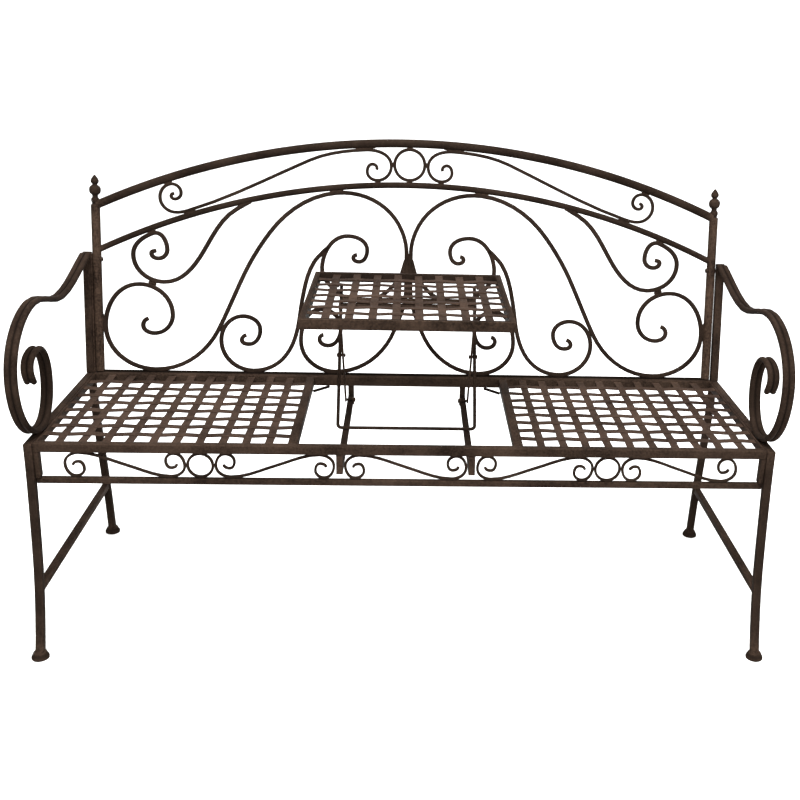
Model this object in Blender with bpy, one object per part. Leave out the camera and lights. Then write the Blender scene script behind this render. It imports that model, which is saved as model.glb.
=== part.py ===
# Wrought-iron garden bench with a table that rises from the middle of the seat.
# Metres, +Z up, the sitter faces -Y, origin on the floor under the middle of the bench.
# Headings in degrees are measured in the plane of the piece, from its first axis towards its second.
from math import atan2, ceil, cos, degrees, hypot, pi, radians, sin, sqrt, tan

import bmesh
import bpy
from mathutils import Matrix, Vector

# Overall frame
SIDE_SPACING = 1.443        # middle of the left side frame to middle of the right one
SEAT_TOP = 0.434            # top of the seat frame above the floor
SEAT_INNER_DEPTH = 0.3955   # clear depth between the front and rear seat rails
SEAT_FRONT_Y = -0.0045      # front face of the front rail, measured back from the front leg's axis
GAP = 0.0003                # paint gap between pieces that touch

# Side frames
LEG_WIDTH = 0.0165
FRONT_FOOT_REACH = 0.069    # front foot ahead of the leg's top
REAR_LEG_SET = 0.0145       # rear leg's axis behind the seat's clear depth
REAR_FOOT_REACH = 0.046     # rear foot behind the leg's top
STRETCHER_WIDTH = 0.014
STRETCHER_HEIGHT = 0.134    # middle of the stretcher above the floor
FOOT_DIAMETER = 0.036
FOOT_HEIGHT = 0.014
FOOT_RIM = 0.005            # straight rim at the bottom of a foot
FOOT_EDGE = 0.001
UPRIGHT_WIDTH = 0.017
UPRIGHT_LENGTH = 0.272
UPRIGHT_FORWARD = 0.006     # upright's foot ahead of the back plane
SPACER_REACH = 0.94         # bolt's place along the upright
ARM_ROD = 0.012             # each of the two rods side by side
ARM_ROD_SPACING = 0.0128
ARM_START_GAP = 0.004       # between the upright and the rods' rear ends
ARM_FRONT_REACH = 0.045     # front of the arm ahead of the front leg's axis
ARM_CURL_REAR = 0.137       # rear of the arm's curl behind that axis

# Back
RECLINE = 11.9              # degrees from upright
BACK_SET = 0.0185           # back plane at seat level behind the seat's clear depth
POST_INSET = 0.0196         # middle of a back post inside the middle of its side frame
POST_DIAMETER = 0.020
POST_LENGTH = 0.3755        # up to the finial
FINIAL_LENGTH = 0.066
FINIAL_WIDTH = 0.0255
TOP_RAIL_DIAMETER = 0.019
TOP_RAIL_SHOULDER = 0.3735  # middle of the top rail at the posts, up the back plane
TOP_RAIL_CROWN = 0.5258     # middle of the top rail at the centre
SECOND_RAIL_DIAMETER = 0.014
SECOND_RAIL_SHOULDER = 0.2735
SECOND_RAIL_CROWN = 0.4334
SCROLL_BAR = 0.0095         # square bar of the large scrolls
BAND_BAR = 0.0073           # square bar between the two arched rails
CENTRE_SLIT = 0.0006        # slit between the two middle scrolls
SPACER_DIAMETER = 0.012

# Seat
SEAT_RAIL = 0.0175          # square tube of the front rail
REAR_RAIL_DEPTH = 0.025
REAR_RAIL_HEIGHT = 0.022
END_RAIL_WIDTH = 0.005
DIVIDER_WIDTH = 0.0185      # rails on both sides of the table's opening
STRIP_THICKNESS = 0.0016
LONG_STRIP_WIDTH = 0.0165   # woven strips that run front to rear
CROSS_STRIP_WIDTH = 0.0178
WEAVE_PITCH = 0.0447
WEAVE_SINK = 0.0035         # middle of the weave below the top of its frame

# Apron
APRON_RAIL = 0.012
APRON_OPEN_HEIGHT = 0.0545  # clear height between the front rail and the apron rail
APRON_POST_WIDTH = 0.009
APRON_BAR = 0.006
APRON_END_GAP = 0.0437      # between an end post and the outer scroll
APRON_BAR_CLEARANCE = 0.002  # between the lift's crossbars and the scrolls beside them

# Table and its lift
TABLE_WIDTH = 0.410
TABLE_SIDE_CLEARANCE = 0.007    # between the table and the rails round it when it is down
TABLE_FRONT_CLEARANCE = 0.006
TABLE_REAR_CLEARANCE = 0.008
TABLE_TOP_RAISED = 0.683
TABLE_FRAME_WIDTH = 0.012
TABLE_FRAME_HEIGHT = 0.020
TABLE_STRIPS = 8                # woven strips that run front to rear in the table
BRACE_DIAMETER = 0.008
BRACE_END_GAP = 0.0026          # between a brace's end and the lift arm beside it
BRACE_SPACING = 0.043
BRACE_SET = 0.0185              # middle between the two braces ahead of the lift arms' upper ends
CROSSBAR_WIDTH = 0.013
CROSSBAR_SPACING = 0.259
CROSSBAR_TOP = 0.388
LIFT_PIN_SET = 0.0355           # pin ahead of the rear rail
LIFT_PIN_DIAMETER = 0.006
LIFT_PIN_HEAD = 0.010
PIN_HEAD_HEIGHT = 0.003
LIFT_SPREAD = 0.172             # between the feet of the two scissor bars with the table up
FOLDED_PIVOT_RISE = 0.020       # upper pivot above the lower pin with the table down
LIFT_ARM_WIDTH = 0.011
LIFT_ARM_THICKNESS = 0.004
PROP_ROD = 0.0075
PROP_BEND = 0.008
SIDE_CLEARANCE = 0.0012         # between pieces that swing past each other
LUG_THICKNESS = 0.003
WELD_DEPTH = 0.002              # how far a welded ear or lug sinks into the piece that carries it
REST_ROD = 0.007                # corner rods that carry the table when it is down
REST_REACH = 0.028              # along each rail from the corner of the opening

# Facets
BEND_STEP = 33.0            # degrees of bend for each facet along a bar
ROD_SIDES = 6
TUBE_SIDES = 8
TURNED_SIDES = 12
RAIL_FACETS = 18            # along each arched rail
RING_FACETS = 14

PAINT = {"frame": (0.042, 0.028, 0.021), "weave": (0.060, 0.040, 0.031), "lift": (0.034, 0.023, 0.018)}
PAINT_ROUGHNESS = 0.5
PAINT_METALLIC = 0.35

SIDE_X = SIDE_SPACING / 2
POST_X = SIDE_X - POST_INSET
SEAT_END_X = SIDE_X - LEG_WIDTH / 2 - GAP
FRONT_INNER_Y = SEAT_FRONT_Y + SEAT_RAIL
REAR_INNER_Y = FRONT_INNER_Y + SEAT_INNER_DEPTH
REAR_LEG_Y = REAR_INNER_Y + REAR_LEG_SET
BACK_Y = REAR_INNER_Y + BACK_SET
APRON_Y = SEAT_FRONT_Y + SEAT_RAIL / 2
REAR_RAIL_Y = REAR_INNER_Y + REAR_RAIL_DEPTH / 2
CROSSBAR_X = CROSSBAR_SPACING / 2
LIFT_ARM_X = CROSSBAR_X + CROSSBAR_WIDTH / 2 + SIDE_CLEARANCE + LIFT_ARM_THICKNESS / 2
PROP_X = LIFT_ARM_X + LIFT_ARM_THICKNESS / 2 + SIDE_CLEARANCE + PROP_ROD / 2
BRACE_LENGTH = 2 * (LIFT_ARM_X - LIFT_ARM_THICKNESS / 2 - BRACE_END_GAP)
LUG_X = PROP_X + PROP_ROD / 2 + SIDE_CLEARANCE
LIFT_PIN_Z = CROSSBAR_TOP + GAP + PROP_ROD / 2
TABLE_PIVOT_DROP = SEAT_TOP - LIFT_PIN_Z - FOLDED_PIVOT_RISE
LIFT_RISE = TABLE_TOP_RAISED - TABLE_PIVOT_DROP - LIFT_PIN_Z
TABLE_FRONT_Y = FRONT_INNER_Y + TABLE_FRONT_CLEARANCE
TABLE_DEPTH = SEAT_INNER_DEPTH - TABLE_FRONT_CLEARANCE - TABLE_REAR_CLEARANCE
TABLE_OPENING = TABLE_WIDTH + 2 * TABLE_SIDE_CLEARANCE
LIFT_PIN_Y = REAR_INNER_Y - LIFT_PIN_SET
BRACE_Y = LIFT_PIN_Y - LIFT_SPREAD - BRACE_SET
SLOPE = radians(RECLINE)
BACK_TOP_Y = BACK_Y + TOP_RAIL_CROWN * sin(SLOPE) + TOP_RAIL_DIAMETER / 2
MIDDLE_Y = (BACK_TOP_Y - FRONT_FOOT_REACH - FOOT_DIAMETER / 2) / 2
SIDES = {"left": -1, "right": 1}

for old in list(bpy.data.objects):
    bpy.data.objects.remove(old, do_unlink=True)


def make_paint(name, colour):
    paint = bpy.data.materials.new(name)
    paint.use_nodes = True
    shader = paint.node_tree.nodes["Principled BSDF"]
    shader.inputs["Base Color"].default_value = (*colour, 1.0)
    shader.inputs["Roughness"].default_value = PAINT_ROUGHNESS
    shader.inputs["Metallic"].default_value = PAINT_METALLIC
    return paint


paints = {name: make_paint(name + "_paint", colour) for name, colour in PAINT.items()}


def make_empty(name, place, parent=None):
    empty = bpy.data.objects.new(name, None)
    bpy.context.scene.collection.objects.link(empty)
    empty.location = Vector(place) - (parent.matrix_world.translation if parent else Vector())
    empty.parent = parent
    bpy.context.view_layer.update()
    return empty


# Sizes along Y are laid out from the front leg's axis; this empty centres the bench on the origin.
bench = make_empty("bench_frame", (0.0, -MIDDLE_Y, 0.0))
lift_axis = make_empty("lift_axis", (0.0, LIFT_PIN_Y - MIDDLE_Y, LIFT_PIN_Z), bench)
knob_axis = make_empty("knob_axis", (0.0, LIFT_PIN_Y - LIFT_SPREAD / 2 - MIDDLE_Y,
                                     LIFT_PIN_Z + LIFT_RISE / 2), lift_axis)
table_axis = make_empty("table_axis", (0.0, LIFT_PIN_Y - MIDDLE_Y, LIFT_PIN_Z + LIFT_RISE), knob_axis)


def add_piece(name, mesh, paint="frame", parent=bench, smooth=0.0):
    piece = bpy.data.objects.new(name, mesh)
    bpy.context.scene.collection.objects.link(piece)
    shift = bench.matrix_world.translation - parent.matrix_world.translation
    mesh.transform(Matrix.Translation(shift))
    piece.parent = parent
    mesh.materials.append(paints[paint])
    if smooth:
        mesh.shade_smooth()
        mesh.set_sharp_from_angle(angle=radians(smooth))
    return piece


def finish_mesh(name, bm):
    bmesh.ops.recalc_face_normals(bm, faces=bm.faces)
    mesh = bpy.data.meshes.new(name)
    bm.to_mesh(mesh)
    bm.free()
    return mesh


# Paths in a plane
def heading_vector(heading):
    return Vector((cos(radians(heading)), sin(radians(heading))))


def bend_between(first, second):
    return (second - first + 180.0) % 360.0 - 180.0


def trace(start, stops):
    """Points along a bar through stops (u, v, heading), each stretch one smooth bend."""
    points = [Vector(start[:2])]
    for here, there in zip([start] + stops[:-1], stops):
        a, b = Vector(here[:2]), Vector(there[:2])
        bend = bend_between(here[2], there[2])
        reach = (b - a).length / (3.0 * cos(radians(bend / 4)) ** 2)
        handle_a = a + heading_vector(here[2]) * reach
        handle_b = b - heading_vector(there[2]) * reach
        count = max(2, ceil(abs(bend) / BEND_STEP))
        for step in range(1, count + 1):
            t = step / count
            points.append(a * (1 - t) ** 3 + handle_a * (3 * t * (1 - t) ** 2)
                          + handle_b * (3 * t * t * (1 - t)) + b * t ** 3)
    return points


def arch_height(shoulder, crown, half_span, u):
    rise = crown - shoulder
    radius = (half_span ** 2 + rise ** 2) / (2 * rise)
    return crown - radius + sqrt(radius ** 2 - u ** 2)


def arch_slope(shoulder, crown, half_span, u):
    rise = crown - shoulder
    radius = (half_span ** 2 + rise ** 2) / (2 * rise)
    return degrees(atan2(-u, sqrt(radius ** 2 - u ** 2)))


TOP_ARCH = (TOP_RAIL_SHOULDER, TOP_RAIL_CROWN, POST_X)
SECOND_ARCH = (SECOND_RAIL_SHOULDER, SECOND_RAIL_CROWN, POST_X)


def against(arch, rail, bar, u, side, turn=0.0):
    """Stop for a bar that lies against an arched rail: side 1 above it, -1 under it."""
    slope = arch_slope(*arch, u)
    away = heading_vector(slope + 90.0) * side * (rail / 2 + GAP + bar / 2)
    return (u + away.x, arch_height(*arch, u) + away.y, slope + turn)


# Sections and sweeps
def square_section(width, depth):
    w, d = width / 2, depth / 2
    return [(-w, -d), (w, -d), (w, d), (-w, d)]


def round_section(diameter, sides):
    angles = [2 * pi * (index + 0.5) / sides for index in range(sides)]
    return [(diameter / 2 * cos(angle), diameter / 2 * sin(angle)) for angle in angles]


def back_plane(side=-1):
    def place(u, v, w=0.0):
        return Vector((-side * u, BACK_Y + v * sin(SLOPE) + w * cos(SLOPE),
                       SEAT_TOP + v * cos(SLOPE) - w * sin(SLOPE)))
    return place


def side_plane(x):
    def place(u, v, w=0.0):
        return Vector((x + w, u, v))
    return place


def front_plane(y):
    def place(u, v, w=0.0):
        return Vector((u, y + w, v))
    return place


def sweep(bm, place, points, section, closed=False, cuts=(None, None)):
    """Sweep a section (across, deep) along points of a plane; cuts are headings of oblique end faces."""
    rings = []
    last = len(points) - 1
    for index, point in enumerate(points):
        before = points[index - 1] if index or closed else None
        after = points[(index + 1) % len(points)] if index < last or closed else None
        into = (point - before).normalized() if before is not None else (after - point).normalized()
        out = (after - point).normalized() if after is not None else into
        along = (into + out).normalized()
        cut = cuts[0] if index == 0 else cuts[1] if index == last else None
        face = heading_vector(cut) if cut is not None and not closed else along
        across = Vector((-face.y, face.x)) / abs(face.dot(into if index else out))
        ring = []
        for offset, depth in section:
            spot = point + across * offset
            ring.append(bm.verts.new(place(spot.x, spot.y, depth)))
        rings.append(ring)
    pairs = list(zip(rings, rings[1:])) + ([(rings[-1], rings[0])] if closed else [])
    sides = len(section)
    for first, second in pairs:
        for k in range(sides):
            bm.faces.new((first[k], first[(k + 1) % sides], second[(k + 1) % sides], second[k]))
    if not closed:
        bm.faces.new(rings[0])
        bm.faces.new(rings[-1])


def swept(name, place, points, section, paint="frame", parent=bench, smooth=0.0, **ends):
    bm = bmesh.new()
    sweep(bm, place, points, section, **ends)
    return add_piece(name, finish_mesh(name, bm), paint, parent, smooth)


def box(name, low, high, paint="frame", parent=bench):
    bm = bmesh.new()
    bmesh.ops.create_cube(bm, size=1.0)
    for vert in bm.verts:
        vert.co = Vector([low[k] if vert.co[k] < 0 else high[k] for k in range(3)])
    return add_piece(name, finish_mesh(name, bm), paint, parent)


def turned(bm, profile, base, direction):
    """Turn a profile of (height, radius) about a line from base; the ends are closed flat."""
    turn = Vector((0, 0, 1)).rotation_difference(Vector(direction)).to_matrix()
    rings = []
    for height, radius in profile:
        ring = []
        for index in range(TURNED_SIDES):
            angle = 2 * pi * (index + 0.5) / TURNED_SIDES
            spot = Vector((radius * cos(angle), radius * sin(angle), height))
            ring.append(bm.verts.new(Vector(base) + turn @ spot))
        rings.append(ring)
    for first, second in zip(rings, rings[1:]):
        for k in range(TURNED_SIDES):
            after = (k + 1) % TURNED_SIDES
            bm.faces.new((first[k], first[after], second[after], second[k]))
    bm.faces.new(rings[0])
    bm.faces.new(rings[-1])


def fuse(piece, others):
    """Join overlapping pieces into one body and drop the originals."""
    for other in others:
        union = piece.modifiers.new("weld", "BOOLEAN")
        union.operation = "UNION"
        union.solver = "EXACT"
        union.object = other
        bpy.context.view_layer.update()
        welded = bpy.data.meshes.new_from_object(piece.evaluated_get(bpy.context.evaluated_depsgraph_get()))
        piece.modifiers.clear()
        piece.data = welded
        bpy.data.objects.remove(other, do_unlink=True)
    return piece


# Side frames
def make_side_frame(label, side):
    x = side * SIDE_X
    plane = side_plane(x)
    leg = square_section(LEG_WIDTH, LEG_WIDTH)
    rail_z = SEAT_TOP - LEG_WIDTH / 2
    mitre = GAP / sqrt(2.0)
    rail_rear_y = REAR_LEG_Y + LEG_WIDTH / 2

    front_path = trace((-FRONT_FOOT_REACH, FOOT_RIM, 70.0),
                       [(-FRONT_FOOT_REACH * 0.25, rail_z * 0.52, 84.0), (0.0, rail_z - mitre, 88.0)])
    front_leg = swept("front_leg_" + label, plane, front_path, leg, smooth=20.0, cuts=(90.0, 45.0))
    rear_path = trace((REAR_LEG_Y + REAR_FOOT_REACH, FOOT_RIM, 95.0),
                      [(REAR_LEG_Y + REAR_FOOT_REACH * 0.75, rail_z * 0.3, 98.0),
                       (REAR_LEG_Y, rail_z - LEG_WIDTH / 2 - GAP, 92.0)])
    rear_leg = swept("rear_leg_" + label, plane, rear_path, leg, smooth=20.0, cuts=(90.0, 90.0))
    rail_path = [Vector((mitre, rail_z)), Vector((rail_rear_y, rail_z))]
    swept("side_rail_" + label, plane, rail_path, leg, cuts=(45.0, 0.0))

    ends = [crossing(path, STRETCHER_HEIGHT) for path in (front_path, rear_path)]
    start_y = ends[0][0] + LEG_WIDTH / 2 / sin(radians(ends[0][1])) + GAP * 2
    end_y = ends[1][0] - LEG_WIDTH / 2 / sin(radians(ends[1][1])) - GAP * 2
    stretcher_path = [Vector((start_y, STRETCHER_HEIGHT)), Vector((end_y, STRETCHER_HEIGHT))]
    swept("stretcher_" + label, plane, stretcher_path, square_section(STRETCHER_WIDTH, STRETCHER_WIDTH),
          cuts=(ends[0][1] - 90.0, ends[1][1] - 90.0))

    for leg_piece, y in ((front_leg, -FRONT_FOOT_REACH), (rear_leg, REAR_LEG_Y + REAR_FOOT_REACH)):
        bm = bmesh.new()
        neck = LEG_WIDTH * 0.78
        profile = [(0.0, FOOT_DIAMETER / 2 - FOOT_EDGE), (FOOT_EDGE, FOOT_DIAMETER / 2),
                   (FOOT_RIM, FOOT_DIAMETER / 2), (FOOT_HEIGHT, neck)]
        turned(bm, profile, (x, y, 0.0), (0, 0, 1))
        fuse(leg_piece, [add_piece("foot", finish_mesh("foot", bm), smooth=40.0)])

    # The upright leans with the back and carries the rear end of the arm.
    upright_y = BACK_Y - UPRIGHT_FORWARD
    top = Vector((upright_y + UPRIGHT_LENGTH * sin(SLOPE), SEAT_TOP + GAP + UPRIGHT_LENGTH * cos(SLOPE)))
    upright_path = [Vector((upright_y, SEAT_TOP + GAP)), top]
    swept("arm_upright_" + label, plane, upright_path, square_section(UPRIGHT_WIDTH, UPRIGHT_WIDTH),
          cuts=(90.0, None))
    make_arm(label, x, top)

    # A spacer stands between the upright and the back post where they are bolted together.
    reach = UPRIGHT_LENGTH * SPACER_REACH
    inner = POST_X + POST_DIAMETER / 2 * cos(pi / TURNED_SIDES) + GAP
    outer = SIDE_X - UPRIGHT_WIDTH / 2 - GAP
    bm = bmesh.new()
    start = (side * inner, upright_y + reach * sin(SLOPE), SEAT_TOP + reach * cos(SLOPE))
    turned(bm, [(0.0, SPACER_DIAMETER / 2), (outer - inner, SPACER_DIAMETER / 2)], start, (side, 0, 0))
    add_piece("post_spacer_" + label, finish_mesh("post_spacer_" + label, bm), smooth=40.0)


def crossing(path, height):
    """Place and heading of a leg's path at a height."""
    for a, b in zip(path, path[1:]):
        if a.y <= height <= b.y:
            spot = a.lerp(b, (height - a.y) / (b.y - a.y))
            return spot.x, degrees(atan2(b.y - a.y, b.x - a.x))
    raise ValueError("the leg does not reach the stretcher")


def make_arm(label, x, top):
    """Twin rods run forward from the upright, drop to the side rail and curl up inside."""
    rest_z = SEAT_TOP + GAP + ARM_ROD / 2
    drop = top.y - rest_z
    start_y = top.x - UPRIGHT_WIDTH - ARM_START_GAP
    start = (start_y, rest_z + drop * 0.985, 194.0)
    length = start_y + ARM_FRONT_REACH
    stops = [(start_y - length * 0.393, rest_z + drop * 0.820, 180.0),
             (start_y - length * 0.720, rest_z + drop * 0.937, 184.0),
             (-ARM_FRONT_REACH, rest_z + drop * 0.465, 270.0),
             (ARM_CURL_REAR * 0.480, rest_z, 0.0),
             (ARM_CURL_REAR, rest_z + drop * 0.345, 90.0),
             (ARM_CURL_REAR * 0.621, rest_z + drop * 0.590, 180.0),
             (ARM_CURL_REAR * 0.293, rest_z + drop * 0.480, 270.0),
             (ARM_CURL_REAR * 0.365, rest_z + drop * 0.385, 300.0)]
    path = trace(start, stops)
    rods = []
    for index, offset in enumerate((-ARM_ROD_SPACING / 2, ARM_ROD_SPACING / 2)):
        rods.append(swept("arm_" + label if index == 0 else "arm_rod", side_plane(x + offset), path,
                          round_section(ARM_ROD, ROD_SIDES), smooth=50.0))
    # Two tie blocks hold the rods side by side, at the upright and at the eye of the curl.
    ties = []
    for index in (0, len(path) - 1):
        bm = bmesh.new()
        middle = Vector((x, path[index].x, path[index].y))
        inward = (path[1] - path[0]) if index == 0 else (path[-2] - path[-1])
        step = Vector((0, inward.x, inward.y)).normalized() * ARM_ROD * 0.3
        turned(bm, [(0.0, ARM_ROD * 0.26), (ARM_ROD_SPACING, ARM_ROD * 0.26)],
               middle + step - Vector((ARM_ROD_SPACING / 2, 0, 0)), (1, 0, 0))
        ties.append(add_piece("arm_tie", finish_mesh("arm_tie", bm)))
    fuse(rods[0], ties[:1] + [rods[1]] + ties[1:])


# Back
def make_back():
    for label, side in SIDES.items():
        name = "back_post_" + label
        bm = bmesh.new()
        r, w, f, s = POST_DIAMETER / 2, FINIAL_WIDTH / 2, FINIAL_LENGTH, POST_LENGTH
        profile = [(GAP + r * tan(SLOPE), r), (s, r)]
        bead = ((0.02, r * 0.8), (0.07, r * 0.8), (0.11, r), (0.19, r), (0.25, w * 0.52), (0.31, w * 0.5))
        ball = ((0.38, w * 0.82), (0.47, w), (0.55, w), (0.62, w * 0.72), (0.67, w * 0.42))
        bud = ((0.73, w * 0.62), (0.79, w * 0.7), (0.86, w * 0.58), (0.94, w * 0.3), (1.0, w * 0.06))
        for height, radius in bead + ball + bud:
            profile.append((s + f * height, radius))
        turned(bm, profile, (side * POST_X, BACK_Y, SEAT_TOP), (0, sin(SLOPE), cos(SLOPE)))
        add_piece(name, finish_mesh(name, bm), smooth=50.0)

    end_u = POST_X - POST_DIAMETER / 2 - GAP
    for name, arch, rail in (("top_rail", TOP_ARCH, TOP_RAIL_DIAMETER),
                             ("second_rail", SECOND_ARCH, SECOND_RAIL_DIAMETER)):
        stations = [end_u * (2 * index / RAIL_FACETS - 1) for index in range(RAIL_FACETS + 1)]
        path = [Vector((u, arch_height(*arch, u))) for u in stations]
        swept(name, back_plane(), path, round_section(rail, TUBE_SIDES), smooth=50.0, cuts=(0.0, 0.0))

    # The ring fills the space between the two arches at the centre.
    low = SECOND_RAIL_CROWN + SECOND_RAIL_DIAMETER / 2 + GAP
    high = TOP_RAIL_CROWN - TOP_RAIL_DIAMETER / 2 - GAP
    ring_radius = (high - low - BAND_BAR) / 2
    ring_v = (low + high) / 2
    swept("centre_ring", back_plane(), ring_points(0.0, ring_v, ring_radius),
          square_section(BAND_BAR, BAND_BAR), closed=True, smooth=30.0)

    for label, side in SIDES.items():
        make_band_scroll(label, side, ring_radius, ring_v)
        make_wing_scroll(label, side)
        make_large_scroll(label, side)
        make_lower_scroll(label, side)
        make_heart_scroll(label, side)


def ring_points(u, v, radius):
    headings = [360.0 * index / RING_FACETS for index in range(RING_FACETS)]
    return [Vector((u, v)) + heading_vector(heading) * radius for heading in headings]


def bar_scroll(name, side, path, bar, **ends):
    swept(name, back_plane(side), path, square_section(bar, bar), smooth=30.0, **ends)


def wide(share):
    """Scroll stations are shares of half the distance between the posts."""
    return share * POST_X


def tall(share):
    """Scroll heights are shares of the second rail's height at the posts."""
    return share * SECOND_RAIL_SHOULDER


def make_band_scroll(label, side, ring_radius, ring_v):
    ring_edge = -(ring_radius + BAND_BAR + GAP)
    over_second = against(SECOND_ARCH, SECOND_RAIL_DIAMETER, BAND_BAR, wide(-0.1014), 1)
    under_top = against(TOP_ARCH, TOP_RAIL_DIAMETER, BAND_BAR, wide(-0.1429), -1, 180.0)
    low_curl = against(SECOND_ARCH, SECOND_RAIL_DIAMETER, BAND_BAR, wide(-0.700), 1, 180.0)
    high_curl = against(TOP_ARCH, TOP_RAIL_DIAMETER, BAND_BAR, wide(-0.7743), -1)
    curl_u, curl_v = (low_curl[0] + high_curl[0]) / 2, (low_curl[1] + high_curl[1]) / 2
    r = ring_radius
    path = trace((wide(-0.1057), ring_v - r * 0.33, 70.0),
                 [(wide(-0.1171), ring_v, 170.0), (wide(-0.1364), ring_v - r * 0.467, 270.0), over_second,
                  (ring_edge, ring_v - r * 0.082, 92.0), under_top,
                  (wide(-0.3201), ring_v + r * 0.16, 204.0), low_curl,
                  (curl_u - r * 0.27, curl_v - r * 0.98, 176.0), (curl_u - r * 1.23, curl_v, 90.0),
                  high_curl, (curl_u + r * 0.15, curl_v + r * 0.29, 270.0),
                  (curl_u - r * 0.27, curl_v - r * 0.12, 180.0),
                  (curl_u - r * 0.50, curl_v + r * 0.08, 90.0),
                  (curl_u - r * 0.33, curl_v + r * 0.24, 10.0)])
    bar_scroll("band_scroll_" + label, side, path, BAND_BAR)


def make_wing_scroll(label, side):
    touch = against(SECOND_ARCH, SECOND_RAIL_DIAMETER, SCROLL_BAR, wide(-0.8286), -1, 180.0)
    end = against(SECOND_ARCH, SECOND_RAIL_DIAMETER, 0.0, wide(-0.5284), -1)
    lead = heading_vector(30.0) * SCROLL_BAR * 2.2
    path = trace((wide(-0.8134), tall(1.0076), 190.0),
                 [(wide(-0.827), tall(0.9856), 270.0), (wide(-0.8057), tall(0.9449), 0.0),
                  (wide(-0.7764), tall(1.018), 90.0), touch, (wide(-0.885), tall(0.974), 270.0),
                  (wide(-0.7881), tall(0.7524), 0.0), (wide(-0.6499), tall(1.0577), 60.0),
                  (end[0] - lead.x, end[1] - lead.y, 30.0), (end[0], end[1], 30.0)])
    bar_scroll("wing_scroll_" + label, side, path, SCROLL_BAR, cuts=(None, end[2] + 90.0))


def make_large_scroll(label, side):
    floor_v = GAP + SCROLL_BAR / 2 + SCROLL_BAR / 2 * tan(SLOPE)
    post_u = -(POST_X - POST_DIAMETER / 2 - GAP - SCROLL_BAR / 2)
    centre_u = -(CENTRE_SLIT + SCROLL_BAR) / 2
    crown = against(SECOND_ARCH, SECOND_RAIL_DIAMETER, SCROLL_BAR, wide(-0.2357), -1)
    path = trace((wide(-0.8429), tall(0.4461), 200.0),
                 [(wide(-0.8586), tall(0.3912), 270.0), (wide(-0.8229), tall(0.3254), 0.0),
                  (wide(-0.7629), tall(0.4826), 90.0), (wide(-0.8671), tall(0.7313), 180.0),
                  (post_u, tall(0.3803), 270.0), (wide(-0.82), floor_v, 0.0),
                  (wide(-0.6157), tall(0.3656), 63.0), (wide(-0.53), tall(0.8373), 64.0),
                  (wide(-0.4477), tall(1.1773), 53.0), crown,
                  (wide(-0.0215), tall(1.2015), -68.0), (centre_u, tall(1.03), -90.0),
                  (centre_u, tall(0.713), -90.0), (wide(-0.045), tall(0.3744), -112.0),
                  (wide(-0.2371), floor_v, 180.0), (wide(-0.3493), tall(0.2797), 90.0),
                  (wide(-0.2814), tall(0.5484), 0.0), (wide(-0.2193), tall(0.3949), -90.0),
                  (wide(-0.2614), tall(0.2431), 180.0), (wide(-0.2886), tall(0.2962), 90.0),
                  (wide(-0.2771), tall(0.3327), 10.0)])
    bar_scroll("large_scroll_" + label, side, path, SCROLL_BAR)


def heart_limb():
    """Crown and flank of a heart scroll's outer limb."""
    return (wide(-0.1971), tall(1.159), 180.0), (wide(-0.2807), tall(0.8995), 266.0)


def make_lower_scroll(label, side):
    floor_v = GAP + SCROLL_BAR / 2 + SCROLL_BAR / 2 * tan(SLOPE)
    # The upper end is bevelled to lie against the heart scroll's limb.
    crown, flank = heart_limb()
    upper, lower = trace(crown, [flank])[-2:]
    lean = degrees(atan2(upper.y - lower.y, upper.x - lower.x))
    touch = upper + heading_vector(lean + 90.0) * (SCROLL_BAR / 2 + GAP)
    path = trace((wide(-0.5286), tall(0.3199), 200.0),
                 [(wide(-0.5414), tall(0.2797), 270.0), (wide(-0.5186), tall(0.245), 0.0),
                  (wide(-0.4814), tall(0.3656), 90.0), (wide(-0.5357), tall(0.479), 180.0),
                  (wide(-0.6079), tall(0.2742), 270.0), (wide(-0.5043), floor_v, 0.0),
                  (wide(-0.4086), tall(0.1243), 46.0), (wide(-0.365), tall(0.3327), 74.0),
                  (wide(-0.3443), tall(0.6325), 79.0), (wide(-0.3053), tall(0.9433), 57.0),
                  (touch.x, touch.y, 48.0)])
    bar_scroll("lower_scroll_" + label, side, path, SCROLL_BAR, cuts=(None, lean - 90.0))


def make_heart_scroll(label, side):
    beside_centre = -(CENTRE_SLIT / 2 + SCROLL_BAR + GAP)
    lead = heading_vector(74.0) * SCROLL_BAR * 2.2
    path = trace((wide(-0.169), tall(1.005), 190.0),
                 [(wide(-0.1795), tall(0.981), 270.0), (wide(-0.1614), tall(0.9488), 0.0),
                  (wide(-0.1347), tall(1.0457), 90.0), *heart_limb(), (wide(-0.2229), tall(0.6779), 322.0),
                  (wide(-0.1509), tall(0.6223), 0.0), (wide(-0.0531), tall(0.7441), 48.0),
                  (beside_centre - lead.x, tall(0.921) - lead.y, 74.0), (beside_centre, tall(0.921), 74.0)])
    bar_scroll("heart_scroll_" + label, side, path, SCROLL_BAR, cuts=(None, 0.0))


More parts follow.
